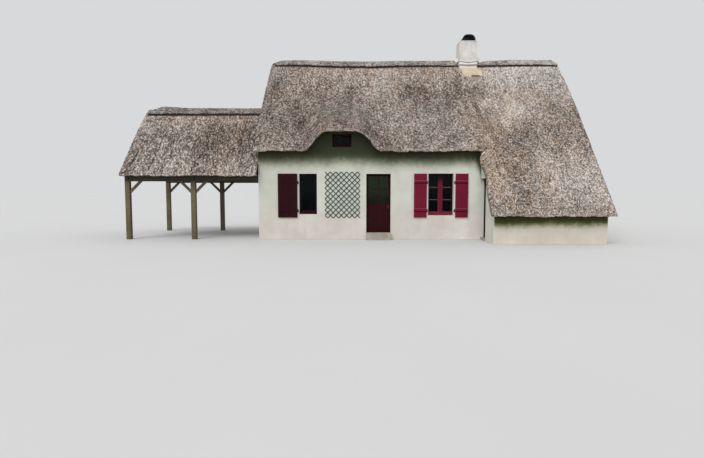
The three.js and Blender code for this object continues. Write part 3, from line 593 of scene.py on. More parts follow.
def reed_relief(u, s):
    """How far the dressed reed ends stand over the mean face, in metres."""
    clumps = noise(u / 0.060 + drift(u, s), s / 0.058, 12)
    ends = noise(u / 0.036 + drift(u, s), s / 0.034, 13)
    swell = noise(u / 1.15, s / 1.6, 14)
    lumps = noise(u / 0.34, s / 0.32, 15)
    return 0.0046 * clumps + 0.0076 * ends + 0.011 * swell + 0.0060 * lumps


def reed_tone(u, s, relief):
    """Brightness from 0 to 1: speckle at the size of reed ends, patches of age, streaks down the slope, and
    painted light and shade on the relief: ends that stand out lighter, hollows darker.
    """
    speckle = 0.14 * noise(u / 0.036 + drift(u, s), s / 0.034, 21) + 0.05 * noise(u / 0.10, s / 0.10, 22)
    patches = 0.07 * noise(u / 0.22, s / 0.24, 23) + 0.08 * noise(u / 0.7, s / 0.8, 24)
    streaks = 0.07 * noise(u / 0.17, s / 1.3, 25) + 0.04 * noise(u / 0.07, s / 0.7, 27)
    clouds = 0.06 * noise(u / 2.3, s / 2.0, 26)
    # Painted light and shade: the relief term makes standing ends lighter and hollows darker.
    return 0.5 + speckle + patches + streaks * smooth((2.6 - s) / 1.4) + clouds + 5.5 * relief


def reed_tint(u, s):
    """Above 0 warm brown, below 0 grey."""
    broad, narrow = noise(u / 1.6, s / 1.9, 31), noise(u / 0.33, s / 0.5, 32)
    return -0.08 + 0.7 * broad + 0.45 * narrow + 0.3 * noise(u / 0.07, s / 0.11, 33)


def ageing(x, d):
    """Slow changes of hue on the house's roof: a little warmer lower down, greyer at the top left."""
    warmer = 0.22 * smooth((d - 0.7) / 0.8)
    greyer = 0.20 * (1 - smooth((d - 0.5) / 0.7)) * smooth((0.9 - x) / 1.8)
    return np.where(x < WING_RIGHT, 0.0, warmer - greyer)


# Stains and worn spots in front: X, distance from the ridge, half width, half length, change of tone
PATCHES = (
    (-1.88, 2.55, 0.16, 0.10, -0.20), (-1.70, 2.30, 0.40, 0.30, -0.05), (0.95, 0.95, 0.28, 0.40, -0.05),
    (2.35, 1.15, 0.38, 0.42, -0.10), (2.85, 1.95, 0.55, 0.45, -0.05), (3.45, 0.75, 0.30, 0.50, 0.06),
    (4.35, 0.95, 0.14, 0.60, -0.10), (5.05, 1.75, 0.30, 0.22, 0.07), (4.95, 2.50, 0.30, 0.35, -0.05),
    (6.35, 2.05, 0.35, 0.40, 0.07), (5.60, 1.55, 0.14, 0.70, 0.05), (6.60, 2.95, 0.45, 0.35, -0.05),
    (7.60, 2.60, 0.30, 0.30, -0.05), (5.70, 3.60, 0.40, 0.30, 0.05), (6.90, 3.75, 0.50, 0.30, 0.04),
    (4.59, 3.45, 0.13, 0.13, -0.15), (0.10, 2.00, 0.50, 0.30, 0.05), (-2.90, 2.80, 0.30, 0.30, 0.04),
    (3.10, 2.95, 1.00, 0.32, -0.06),
)


def weathering(x, d):
    """Slow changes of brightness: pale towards the right of the ridge, darker lower down and on the wing."""
    darker = -0.055 * smooth((d - 0.7) / 0.8) * (1 - smooth((x - 4.1) / 1.4))
    left = -0.045 * smooth((0.3 - x) / 1.5)
    top = 0.055 * (1 - smooth((d - 0.5) / 0.7))
    pale = 0.17 * smooth((x - 3.7) / 2.0) * (1 - smooth((d - 0.3) / 2.1))
    middle = -0.03 * smooth((x - 4.6) / 0.6) * smooth((d - 2.4) / 0.5) * (1 - smooth((d - 3.8) / 0.6))
    foot = 0.06 * smooth((d - 3.2) / 0.9)
    inner = -0.05 * bell((x - CATSLIDE_X) / 0.35) * smooth((d - 3.3) / 0.4)
    spots = sum(change * bell((x - px) / wide, (d - pd) / tall) for px, pd, wide, tall, change in PATCHES)
    house = darker + left + top + pale + middle + foot + spots + inner
    wing = -0.09 * bell((d - 1.35) / 0.5) - 0.05 * smooth((x + 5.0) / 1.2)
    wing = wing - 0.05 * smooth((d - 0.6) / 0.5) + 0.04 * smooth((d - 1.8) / 0.4)
    return np.where(x < WING_RIGHT, wing, house)


# Furrows down the wing: X, and the distances from the ridge where they start and end
RUTS = ((-7.15, 1.15, 2.6), (-7.75, 1.5, 2.6), (-5.45, 0.5, 1.7), (-4.2, 0.4, 2.3))


def ruts(u, s):
    """Where rain has worn narrow furrows down the wing, 1 at their middle."""
    depth = np.zeros(np.broadcast(u, s).shape)
    for middle, start, end in RUTS:
        path = middle + 0.035 * noise(s / 0.35, 0 * s + middle, 35)
        depth += bell((u - path) / 0.02) * smooth((s - start) / 0.3) * smooth((end - s) / 0.3)
    return depth


def teeth(u, s):
    """How much lower each bunch of reed hangs at an eave."""
    return (0.018 * noise(u / 0.10, s / 0.5, 36) + 0.012 * noise(u / 0.05, s / 0.3, 37)
            + 0.018 * noise(u / 0.45, s / 0.9, 34))


def edge_run(depth, radius, faces, arcs=4):
    """From under the edge, up its cut face and round the lip: (inset, drop, share of the relief)."""
    run = [(0.14, depth, 0.0), (0.0, depth, 0.0)]
    run += [(0.0, mix(depth, radius, share), 0.7) for share in np.linspace(0, 1, faces + 1)[1:]]
    angles = np.linspace(0, math.pi / 2, arcs + 1)[1:-1]
    run += [(radius * (1 - math.cos(a)), radius * (1 - math.sin(a)), 0.9) for a in angles]
    return np.array(run)


def run_between(left, right, start, end, cell):
    """Grid stations from edge to edge: (place, drop, relief). left and right are edge runs or None."""
    low = start + (left[-1, 0] + cell if left is not None else 0.0)
    high = end - (right[-1, 0] + cell if right is not None else 0.0)
    middle = np.linspace(low, high, max(2, round((high - low) / cell) + 1))
    lines = [np.column_stack([middle, np.zeros(len(middle)), np.ones(len(middle))])]
    if left is not None:
        lines.insert(0, np.column_stack([start + left[:, 0], left[:, 1:]]))
    if right is not None:
        lines.append(np.column_stack([end - right[::-1, 0], right[::-1, 1:]]))
    return np.concatenate(lines)


def eave_run(reach, edge, cell):
    """Stations from the ridge to the eave: (horizontal distance, drop, relief)."""
    line = run_between(edge, None, 0.0, reach, cell)
    line[:, 0] = reach - line[:, 0]
    return line[::-1]


def outward(points):
    """Unit normals of a grid of points, on the side that columns x rows turns to."""
    normal = np.cross(np.gradient(points, axis=1), np.gradient(points, axis=0))
    return normal / np.maximum(np.linalg.norm(normal, axis=-1, keepdims=True), 1e-9)


def cap_shadow(x, d, drop_x, cap_half, verge, wing):
    """1 on the reed under a straw cap and just below it, but not where its slanted end leaves it bare."""
    inset, slant = (WING_CAP_INSET, WING_CAP_SLANT) if wing else (CAP_INSET, CAP_SLANT)
    covered_from = verge + inset + slant * np.clip(1 - d / cap_half, 0, 1)
    shadow = (1 - smooth((d - cap_half - 0.045) / 0.02)) * (1 - smooth((drop_x - 0.05) / 0.08))
    return shadow * smooth((x - covered_from + 0.03) / 0.05)


# Place of the left verge for a coat without one: too far off to comb its reed
NO_VERGE = -99.0


def coat(name, across, down, depth, place, stands_for, cap_half, verge=NO_VERGE, flip=False, nose=NOSE,
         low=0.0):
    """A coat of reed over two runs of stations, laid by place(x, distance from the ridge, drop share).
    Near a left verge the reeds spread outwards as they come down and are combed smooth. The eave is cut back
    under its nose and hangs low metres lower."""
    x, drop_x, show_x = (across[None, :, k] for k in range(3))
    d, drop_d, show_d = (down[:, None, k] for k in range(3))
    fallen = drop_d / depth
    s = d + 0.9 * drop_d + 0 * x
    u = x + 0.7 * drop_x + 0 * d + 0.20 * s * np.exp(-(x - verge) / 1.6)
    wing = x.max() < WING_RIGHT + 0.1
    points = grid(*place(x, d, 1 - (1 - drop_x / depth) * (1 - fallen)))
    points[..., 2] -= (teeth(u, s) + low) * smooth((fallen - 0.05) / 0.15)
    furrows = ruts(u, s) if wing else 0.0
    s = 0.5 * s if wing else s - 0.4 * np.minimum(s, 1.2)
    selvedge = 0.5 * bell(np.maximum(x - verge, 0) / 0.30) * np.ones_like(s)
    relief = (reed_relief(u, s) - 0.014 * furrows) * (1 - selvedge)
    normal = outward(points) * (-1 if flip else 1)
    points = points + normal * (relief * show_x * show_d)[..., None]
    # Painted light and shade: the eave's cut face is painted lighter than its shade, and the underside past
    # the nose darker.
    cut = smooth(6 * fallen) * (1 - smooth((fallen - nose) / 0.12)) - 0.8 * smooth((fallen - nose) / 0.2)
    fresh = smooth((d - cap_half) / 0.05) * (1 - smooth((d - cap_half - 0.06) / 0.16))
    lines = (0.5 + 0.07 * noise((x + 0.7 * drop_x) / 0.05, s / 0.8, 38)
             + 0.05 * noise((x + 0 * d) / 0.3, s / 0.5, 39))
    combed = np.maximum(selvedge, 0.65 * (1 - smooth((d - 0.35) / 0.9)))
    tone = mix(reed_tone(u, s, relief), lines, combed) + weathering(x, d)
    shadow = cap_shadow(x, d, drop_x, cap_half, verge, wing)
    looks = {
        "tone": tone - 0.3 * furrows + 0.155 * cut - 0.8 * shadow + 0.03 * fresh,
        "tint": reed_tint(u, s) + ageing(x, d) + 0.2 * cut + 0.9 * fresh + 0.2 * selvedge,
        "reed": np.stack([u, s, np.zeros_like(u)], -1),
    }
    add_sheet(name, points, looks, THATCH, stands_for, flip)


def lining(name, left, right, reach, rows, place):
    """The underside of a coat, which shows under the eaves and in the open shelter."""
    x = np.linspace(left, right, max(2, round((right - left) / 0.09)))[None, :]
    d = np.linspace(0, reach, rows)[:, None]
    u, s = x + 0 * d, d + 0 * x
    looks = {
        "tone": 0.33 + 0.5 * (reed_tone(u, s, 0.0) - 0.5),
        "tint": 0.5 + 0 * u,
        "reed": np.stack([u, s, np.zeros_like(u)], -1),
    }
    add_sheet(name, grid(*place(x, d, np.ones_like(u))), looks, THATCH)


def undercut(share, nose):
    """The cut end of the reed drops nearly straight from the lip down to its nose, then runs back under."""
    return 0.015 * np.minimum(share / nose, 1) + 0.325 * np.maximum((share - nose) / (1 - nose), 0)


# Down a slope, distance 0 is at the ridge and grows horizontally to the eave
def left_lean(x, verge, lean, share):
    """A left verge leans in, and its underside follows part of the way."""
    return smooth((verge + 0.5 - x) / 0.5) * lean * (1 - share * (1 - UNDERSIDE_LEAN))


def right_lean(x, part, share):
    return -smooth((x - VERGE_RIGHT + 0.5) / 0.5) * (0.02 + 0.11 * part ** 6) * (1 - share)


def main_lean(x, part, share):
    return left_lean(x, VERGE_LEFT, 0.04 + 0.19 * part ** 2, share) + right_lean(x, part, share)


def front_place(x, d, share):
    part = np.clip(1 - d / MAIN_REACH, 0, 1)
    y = mix(EAVE_Y + undercut(share, NOSE), RIDGE_Y, part)
    z = main_top(y) + brow_lift(x, part) - ROOF_DEPTH * share + ridge_sag(x, y) + stack_dressing(x, y)
    return x + main_lean(x, part, share), y, z


def rear_place(x, d, share):
    part = np.clip(1 - d / (REAR_EAVE_Y - RIDGE_Y), 0, 1)
    y = mix(REAR_EAVE_Y - undercut(share, NOSE), RIDGE_Y, part)
    return x + main_lean(x, part, share), y, main_top(y) - ROOF_DEPTH * share + ridge_sag(x, y)


def catslide_place(x, d, share):
    part = np.clip(1 - d / CATSLIDE_REACH, 0, 1)
    y = mix(CATSLIDE_EAVE_Y + undercut(share, CATSLIDE_NOSE), RIDGE_Y, part)
    z = catslide_top(y) + catslide_lift(x, y) * (1 - share) - ROOF_DEPTH * share + ridge_sag(x, y)
    tuck = TUCK * share * smooth((EAVE_Y - y) / DROP) * smooth((CATSLIDE_X + 0.3 - x) / 0.3)
    return x + right_lean(x, part, share) + verge_hook(x, y, share) + tuck + verge_bite(x, y), y, z


def catslide_flush(x, d, share):
    """Above the main eave the catslide meets the main slope flush; below it the verge rolls over."""
    open_side = smooth((EAVE_Y + 0.06 - (RIDGE_Y - d)) / 0.16)
    rolled = (x < CATSLIDE_X + VERGE_ROUND) & (share < VERGE_ROUND / ROOF_DEPTH)
    return catslide_place(x, d, np.where(rolled, share * open_side, share))


def wing_place(side):
    def place(x, d, share):
        part = np.clip(1 - d / WING_REACH, 0, 1)
        y = WING_RIDGE_Y - side * mix(WING_REACH - undercut(share, WING_NOSE), 0.0, part)
        x = x + left_lean(x, WING_LEFT, 0.13 * part ** 4, share)
        return x, y, wing_top(y) - WING_DEPTH * share + 0 * x
    return place


def main_thatch():
    verge, eave = edge_run(ROOF_DEPTH, VERGE_ROUND, 12), edge_run(ROOF_DEPTH, EAVE_ROUND, 16, 3)
    across = run_between(verge, None, VERGE_LEFT, CATSLIDE_X + CATSLIDE_LAP, FINE_CELL[0])
    coat("front_reed", across, eave_run(MAIN_REACH, eave, FINE_CELL[1]), ROOF_DEPTH, front_place,
         ["thatch_front"], CAP_HALF, VERGE_LEFT)
    lining("front_reed_underside", VERGE_LEFT, CATSLIDE_X, MAIN_REACH, 30, front_place)
    across = run_between(verge, verge, CATSLIDE_X, VERGE_RIGHT, FINE_CELL[0])
    coat("catslide_reed", across, eave_run(CATSLIDE_REACH, eave, FINE_CELL[1]), ROOF_DEPTH, catslide_flush,
         ["thatch_catslide"], CAP_HALF, nose=CATSLIDE_NOSE, low=0.010)
    lining("catslide_reed_underside", CATSLIDE_X, VERGE_RIGHT, CATSLIDE_REACH, 30, catslide_place)
    across = run_between(verge, verge, VERGE_LEFT, VERGE_RIGHT, REAR_CELL[0])
    coat("rear_reed", across, eave_run(MAIN_REACH, eave, REAR_CELL[1]), ROOF_DEPTH, rear_place,
         ["thatch_rear"], CAP_HALF, VERGE_LEFT, flip=True)
    lining("rear_reed_underside", VERGE_LEFT, VERGE_RIGHT, MAIN_REACH, 20, rear_place)


def wing_thatch():
    verge, eave = edge_run(WING_DEPTH, WING_VERGE_ROUND, 12), edge_run(WING_DEPTH, EAVE_ROUND, 16, 3)
    across = run_between(verge, None, WING_LEFT, WING_RIGHT, WING_CELL[0])
    coat("wing_front_reed", across, eave_run(WING_REACH, eave, WING_CELL[1]), WING_DEPTH, wing_place(1),
         ["shelter_thatch_front"], WING_CAP_HALF, WING_LEFT, nose=WING_NOSE)
    across = run_between(verge, None, WING_LEFT, WING_RIGHT, REAR_CELL[0])
    coat("wing_rear_reed", across, eave_run(WING_REACH, eave, REAR_CELL[1]), WING_DEPTH, wing_place(-1),
         ["shelter_thatch_rear"], WING_CAP_HALF, WING_LEFT, flip=True)
    for side, name in ((1, "wing_front_underside"), (-1, "wing_rear_underside")):
        lining(name, WING_LEFT, WING_RIGHT, WING_REACH, 20, wing_place(side))


def cap_section(half):
    """One side of a cap from its hidden foot round the lip to the crest: (offset, lift, relief)."""
    gap = 0.026
    lip = [(half - 0.06, 0.004, 0.0), (half - 0.012, gap, 0.3), (half, gap + 0.006, 0.6),
           (half + 0.004, mix(gap, CAP_LIP, 0.5), 1.0), (half - 0.006, CAP_LIP, 1.0)]
    slope = [(q, CAP_CREST - (CAP_CREST - CAP_LIP) * (q / half) ** 2, 1.0)
             for q in np.linspace(half - 0.024, 0, round(half / 0.016))]
    return np.array(lip + slope)


def ridge_cap(name, x0, x1, slants, ridge_y, top, half, stands_for, change, sag):
    """A saddle of straw over a ridge, whose lower edges are ragged and stand a little off the reed."""
    ends, plain = edge_run(CAP_CREST, 0.04, 3, 3), edge_run(CAP_CREST, 0.012, 3, 2)
    across = run_between(ends if slants[0] else plain, ends if slants[1] else plain, x0, x1, 0.024)
    one_side = cap_section(half)
    section = np.concatenate([one_side, one_side[-2::-1] * (-1, 1, 1)])
    x, drop, show_x = (across[None, :, k] for k in range(3))
    q, lift, show_q = (section[:, None, k] for k in range(3))
    side = np.sign(q)
    near_lip = smooth((np.abs(q) - half + 0.07) / 0.06)
    ragged = 0.013 * noise(x / 0.05, side * 9 + 0 * x, 41) + 0.016 * noise(x / 0.24, side * 7 + 0 * x, 42)
    crown = 1 - smooth(np.abs(q) / half)
    shift = slants[0] * crown * smooth((x0 + 0.7 - x) / 0.7)
    shift = shift - slants[1] * crown * smooth((x - x1 + 0.7) / 0.7)
    y = ridge_y + q + side * ragged * near_lip
    z = top(y) + lift * (1 - drop / CAP_CREST) + sag(x, y) - 0.008 * crown
    points = grid(x + shift, y, z)
    u, s = x + 0 * q, q + lift + 3 * side + 0 * x
    relief = reed_relief(u, s)
    # Painted shade: the underside of the cap's lip is darkened.
    hidden, near_stack = smooth((CAP_LIP - 0.012 - lift) / 0.03), bell((x - 4.8) / 0.9)
    looks = {
        "tone": reed_tone(u, s, relief) - 0.4 * hidden + change + 0.10 * near_stack,
        "tint": 0.6 * reed_tint(u, s) + 0.15,
        "reed": np.stack([u * 0.55, s * 1.6, np.zeros_like(u)], -1),
    }
    points = points - outward(points) * (0.7 * relief * show_x * show_q)[..., None]
    add_sheet(name, points, looks, RIDGE_STRAW, stands_for, flip=True)


def ridge_caps():
    ridge_cap("ridge_cap_left_straw", VERGE_LEFT + CAP_INSET, STACK_LEFT - 0.06, (CAP_SLANT, 0.0), RIDGE_Y,
              main_top, CAP_HALF, ["ridge_cap_left"], -0.01, ridge_sag)
    ridge_cap("ridge_cap_right_straw", STACK_RIGHT + 0.06, VERGE_RIGHT - 0.13, (0.0, 0.20), RIDGE_Y,
              main_top, CAP_HALF, ["ridge_cap_right"], 0.10, ridge_sag)
    ridge_cap("wing_ridge_straw", WING_LEFT + WING_CAP_INSET, WING_RIGHT, (WING_CAP_SLANT, 0.0),
              WING_RIDGE_Y, wing_top, WING_CAP_HALF, ["shelter_ridge_cap"], -0.08, wing_crest_sag)


# chimney
def stack_ring(x0, x1, y0, y1, z, radius, arcs=4, sides=9):
    """Points round a rectangle with rounded corners at one height."""
    ring = []
    for cx, cy, start in ((x1 - radius, y0 + radius, -90), (x1 - radius, y1 - radius, 0),
                          (x0 + radius, y1 - radius, 90), (x0 + radius, y0 + radius, 180)):
        for k in range(arcs + 1):
            a = math.radians(start + 90 * k / arcs)
            ring.append(np.array((cx + radius * math.cos(a), cy + radius * math.sin(a), z)))
    full = []
    for a, b in zip(ring, ring[1:] + ring[:1]):
        parts = sides if np.linalg.norm(b - a) > 0.2 else 1
        full += [a + (b - a) * k / parts for k in range(parts)]
    return np.array(full)


# Rings up the stack: height, how far the face stands out, how far the ring sags in the middle, painted shade
# # (near 1 in the hollows under the rolls and the rim; below 0 lighter and creamier)
STACK_LEVELS = (
    (5.90, 0.0, 0.0, 0.2), (6.60, 0.0, 0.0, 0.2), (6.80, -0.004, 0.0, -0.15), (6.90, 0.004, 0.1, -0.2),
    (6.935, 0.006, 0.3, 0.1), (6.942, -0.020, 0.4, 1.0), (6.972, -0.020, 0.4, 1.0), (6.978, 0.040, 0.4, 0.7),
    (6.995, 0.054, 0.4, 0.0), (7.035, 0.058, 0.5, -0.2), (7.070, 0.050, 0.7, -0.1), (7.082, 0.030, 0.8, 0.2),
    (7.088, -0.006, 0.9, 0.9), (7.104, -0.006, 0.9, 0.9), (7.110, 0.030, 0.9, 0.4), (7.125, 0.038, 0.8, 0.0),
    (7.160, 0.034, 0.6, 0.0), (7.200, 0.018, 0.4, 0.15), (7.215, 0.010, 0.4, 0.25), (7.29, 0.004, 0.1, 0.0),
    (7.40, 0.0, 0.0, 0.0), (7.60, 0.0, 0.0, 0.0), (7.80, 0.0, 0.0, 0.0), (7.908, 0.0, 0.0, 0.1),
    (7.917, -0.006, 0.0, 0.7), (7.926, 0.006, 0.0, 0.1), (7.952, 0.006, 0.0, -0.1), (7.958, 0.0, 0.0, 0.0),
)
ROLL_SAG = 0.045


def chimney():
    """The stack: skirt, two mortar rolls that sag in the middle with painted shade in the hollows, shaft and
    rim.
    """
    middle_x, middle_y, half = (STACK_LEFT + STACK_RIGHT) / 2, (STACK_FRONT + STACK_REAR) / 2, 0.36
    rings = []
    for z, out, sag, _ in STACK_LEVELS:
        aside = out * (0.45 if out > 0 else 1.0)
        ring = stack_ring(STACK_LEFT - aside, STACK_RIGHT + aside, STACK_FRONT - out, STACK_REAR + out,
                          z, 0.03 + out / 2)
        inside = 1 - np.abs(ring[:, 0] - middle_x) / half
        ring[:, 2] -= ROLL_SAG * sag * smooth(inside) * np.clip((STACK_FRONT + 0.1 - ring[:, 1]) / 0.1, 0, 1)
        uneven = 0.006 * noise(ring[:, 0] * 4 + 3 * z, ring[:, 1] * 4 + 7 * z, 51)
        ring[:, :2] += uneven[:, None] * np.sign(ring[:, :2] - (middle_x, middle_y))
        rings.append(np.vstack([ring, ring[:1]]))
    painted_shade = np.array([level[-1] for level in STACK_LEVELS])[:, None]
    add_sheet("chimney_skin", np.array(rings), {"tone": painted_shade}, STACK_RENDER)
    top = Joinery(52)
    top.box(STACK_LEFT, STACK_RIGHT, STACK_FRONT, STACK_REAR, STACK_TOP - 0.045, STACK_TOP + 0.0005, 0.012)
    top.piece("chimney_top_slab", STACK_RENDER, "lime_render", smooth_faces=True)


def chimney_fillets():
    """White mortar flaring from both sides of the stack over the crest of the ridge straw."""
    for name, side, face, reach, rise in (
        ("chimney_fillet_right", 1, STACK_RIGHT, 0.40, 0.21),
        ("chimney_fillet_left", -1, STACK_LEFT, 0.15, 0.12),
    ):
        along, out = np.linspace(-1, 1, 25)[None, :], np.linspace(0, 1, 14)[:, None]
        y = RIDGE_Y + along * (CAP_HALF - 0.02 - 0.05 * out)
        ragged = 1 + 0.12 * noise(y * 22, 0 * y, 56)
        x = face + side * (out * reach * (1 - 0.35 * along ** 2) * ragged - 0.014)
        lump = 0.010 * noise(x * 15, y * 15, 55)
        ground = main_top(y) + ridge_sag(x, y) + CAP_CREST - (CAP_CREST - CAP_LIP) * along ** 2
        z = ground + lump + rise * (1 - out) ** 1.6 + 0.022 * (1 - out ** 6) - 0.03 * out ** 6
        add_sheet(name, grid(x, y, z)[:, ::-side], {"tone": 0.0 * x - 0.1}, STACK_RENDER)


def cowl():
    """A bent sheet over the flue, squarer than a half round, with a rolled edge, a back and four feet."""
    x, y0, y1, half, crown, squareness = 4.860, 2.825, 3.165, 0.264, 0.311, 2.8
    angles = np.linspace(0, math.pi, 41)
    bent_x = np.sign(np.cos(angles)) * np.abs(np.cos(angles)) ** (2 / squareness)
    bent_z = np.clip(np.sin(angles), 0, 1) ** (2 / squareness)
    roll = ((0.0, 0.0), (0.0, 0.010), (0.006, 0.014), (0.016, 0.010), (0.02, 0.004))
    profile = [(y0 + inset, out) for inset, out in roll] + [((y0 + y1) / 2, 0.004)]
    profile += [(y1 - inset, out) for inset, out in roll[::-1]] + [(y1, -0.008), (y0, -0.008), (y0, 0.0)]
    sheet = np.array([
        grid(x - (half + out) * bent_x, y + 0 * angles, STACK_TOP - 0.004 + (crown + out) * bent_z)
        for y, out in profile
    ])
    add_sheet("cowl_sheet", sheet, {"tone": 0 * sheet[..., 0]}, DARK_METAL, ["chimney_cowl"])
    plate = np.array([grid(x - share * (half - 0.004) * bent_x, y1 - 0.02 + 0.012 * share + 0 * angles,
                           STACK_TOP + share * (crown - 0.006) * bent_z) for share in np.linspace(1, 0, 7)])
    add_sheet("cowl_back", plate, {"tone": 0 * plate[..., 0]}, DARK_METAL)
    feet = Joinery(53)
    for side in (-1, 1):
        for y in (y0 + 0.06, y1 - 0.06):
            edge, bolt = x + side * half, x + side * (half - 0.016)
            feet.box(edge - side * 0.028, edge + side * 0.004, y - 0.02, y + 0.02,
                     STACK_TOP - 0.002, STACK_TOP + 0.006, 0.001)
            feet.rod((bolt, y, STACK_TOP), (bolt, y, STACK_TOP + 0.014), 0.008, sides=6)
    feet.piece("cowl_feet", DARK_METAL, "dark_metal")


def mortar_apron():
    """Cream mortar dressed from the foot of the stack over the reed below it, a little to the right."""
    x0, x1, y_back, y_front = 4.50, 5.36, 2.665, 2.417
    along, down = np.linspace(0, 1, 44)[None, :], np.linspace(0, 1, 24)[:, None]
    x = mix(x0, x1, along) + 0 * down
    corner = smooth((x0 + 0.16 - x) / 0.16)
    front = y_front + 0.07 * corner + 0.02 * smooth((x - 4.85) / 0.08) + 0.012 * noise(x * 8, x * 0, 61)
    y = mix(y_back, front, down ** 0.9)
    past = smooth((x - STACK_RIGHT) / 0.1)
    climb = mix(0.17, 0.055, smooth((y_back - y) / 0.2)) * (1 - past) + 0.06 * past
    edge = np.clip((1 - down) / 0.09, 0, 1) ** 0.5
    edge = edge * np.clip(np.minimum(along, 1 - along) / 0.05, 0, 1) ** 0.5
    z = main_top(y) + ridge_sag(x, y) - 0.02 + (climb + 0.02 + 0.008 * noise(x * 15, y * 15, 62)) * edge
    x = x + 0.03 * smooth((y_back - y) / 0.25) * along
    add_sheet("mortar_apron", grid(x, y, z), {"tone": 0 * x}, MORTAR, ["chimney_apron"], flip=True)


def mended_strip():
    """A grey strip below the apron, with painted shadow of the apron's edge along its top."""
    along, down = np.linspace(0, 1, 20)[None, :], np.linspace(0, 1, 10)[:, None]
    x = mix(4.87, 5.25, along) + 0.02 * down
    y = mix(2.465, 2.265 + 0.012 * noise(x * 9, 0 * x, 63), down)
    rim = np.clip(np.minimum(1 - down, np.minimum(along, 1 - along)) / 0.08, 0, 1) ** 0.5
    z = main_top(y) + ridge_sag(x, y) + 0.045 * rim - 0.02
    # Painted shadow under the apron's edge along the strip's top.
    dark = {"tone": smooth((0.62 - down + 0 * x) / 0.12)}
    add_sheet("mended_strip", grid(x, y, z), dark, OLD_MORTAR, flip=True)


# joinery
# Place of the hinge, side to which the open shutter lies, reach, body and number of boards
SHUTTERS = {
    "shutter_window_1": (-1.990, -1, 0.740, "shutter_1_leaf", 6),
    "shutter_window_2_left": (2.780, -1, 0.495, "shutter_2_left_leaf", 4),
    "shutter_window_2_right": (3.785, 1, 0.495, "shutter_2_right_leaf", 4),
}
SHUTTER_Y, SHUTTER_FOOT, SHUTTER_HEAD = -0.0475, 0.815, 2.430
BATTENS = ((1.050, 1.160), (2.090, 2.185))
HINGE_FOOT = 0.015


def shutter_boards(node, axis_x, side, reach, body, planks, paint):
    """Boards and two battens, with painted highlights along their tops and painted shadow below."""
    # The first shutter has the darkened paint of painted shade: its top edges keep that paint and its shadow
    # strips take the near-black one.
    old = paint is SHADED_SHUTTER_PAINT
    heel, gap = 0.025, 0.003
    width = (reach - heel - gap * (planks - 1)) / planks
    boards, highlights, painted_shade = Joinery(70 + planks), Joinery(78), Joinery(79)
    for k in range(planks):
        near = axis_x + side * (heel + k * (width + gap))
        boards.box(near, near + side * width, SHUTTER_Y - 0.0055, SHUTTER_Y + 0.0175,
                   SHUTTER_FOOT + 0.002 * (k % 2), SHUTTER_HEAD, 0.0045)

    def strip(made, inset, front, back, low, high, arris):
        made.box(axis_x + side * (heel + inset), axis_x + side * (reach - inset),
                 SHUTTER_Y + front, SHUTTER_Y + back, low, high, arris)

    for low, high in BATTENS:
        strip(boards, 0.004, -0.030, -0.004, low, high, 0.007)
        # Painted highlight along the batten's top, and painted shadow under it and on its lower edge.
        strip(highlights, 0.005, -0.031, -0.006, high - 0.022, high + 0.001, 0.006)
        strip(painted_shade, 0.006, -0.0065, -0.004, low - 0.026, low + 0.004, 0.001)
        strip(painted_shade, 0.006, -0.0305, -0.006, low - 0.0005, low + 0.012, 0.004)
    boards.piece(f"{node}_boards", paint, "shutter_paint", [node], body)
    highlights.piece(f"{node}_top_edges", paint if old else HIGHLIGHT_PAINT, "shutter_paint", body=body)
    painted_shade.piece(f"{node}_grime", SHADE_BLACK_PAINT if old else SHADED_JOINERY_PAINT, "shutter_paint", body=body)


def shutter_hinges(node, axis_x, side, reach, body, paint):
    """Strap hinges on the battens, and the pintles that carry them on the wall."""
    iron, pins = Joinery(75), Joinery(76)
    for low, high in BATTENS:
        bottom, middle = low + HINGE_FOOT, (low + high) / 2
        iron.rod((axis_x, SHUTTER_Y, bottom), (axis_x, SHUTTER_Y, bottom + 0.06), 0.012)
        iron.box(axis_x, axis_x + side * reach * 0.72, SHUTTER_Y - 0.0325, SHUTTER_Y - 0.0275,
                 middle - 0.016, middle + 0.016, 0.0015)
        iron.box(axis_x, axis_x + side * 0.05, SHUTTER_Y - 0.0305, SHUTTER_Y + 0.004,
                 bottom + 0.004, bottom + 0.056, 0.002)
        for k in (0.22, 0.5, 0.68):
            x = axis_x + side * reach * k
            iron.rod((x, SHUTTER_Y - 0.036, middle), (x, SHUTTER_Y - 0.03, middle), 0.004, 0.007, 8)
        top = bottom - 0.0003
        pins.box(axis_x - 0.0115, axis_x + 0.0115, SHUTTER_Y - 0.0115, 0.004, top - 0.0275, top + 0.0002)
        pins.box(axis_x - 0.024, axis_x + 0.024, -0.006, 0.004, top - 0.055, top + 0.024)
    iron.piece(f"{node}_straps", paint, "shutter_paint", body=body)
    pins.piece(f"{node}_pintles", DARK_METAL, "dark_metal")


def shutters():
    for node, (axis_x, side, reach, body, planks) in SHUTTERS.items():
        # The first window's shutter takes the darkened paint, painted shade.
        paint = SHADED_SHUTTER_PAINT if node == "shutter_window_1" else SHUTTER_PAINT
        shutter_boards(node, axis_x, side, reach, body, planks, paint)
        shutter_hinges(node, axis_x, side, reach, body, paint)


DOOR_BOARDS = 5


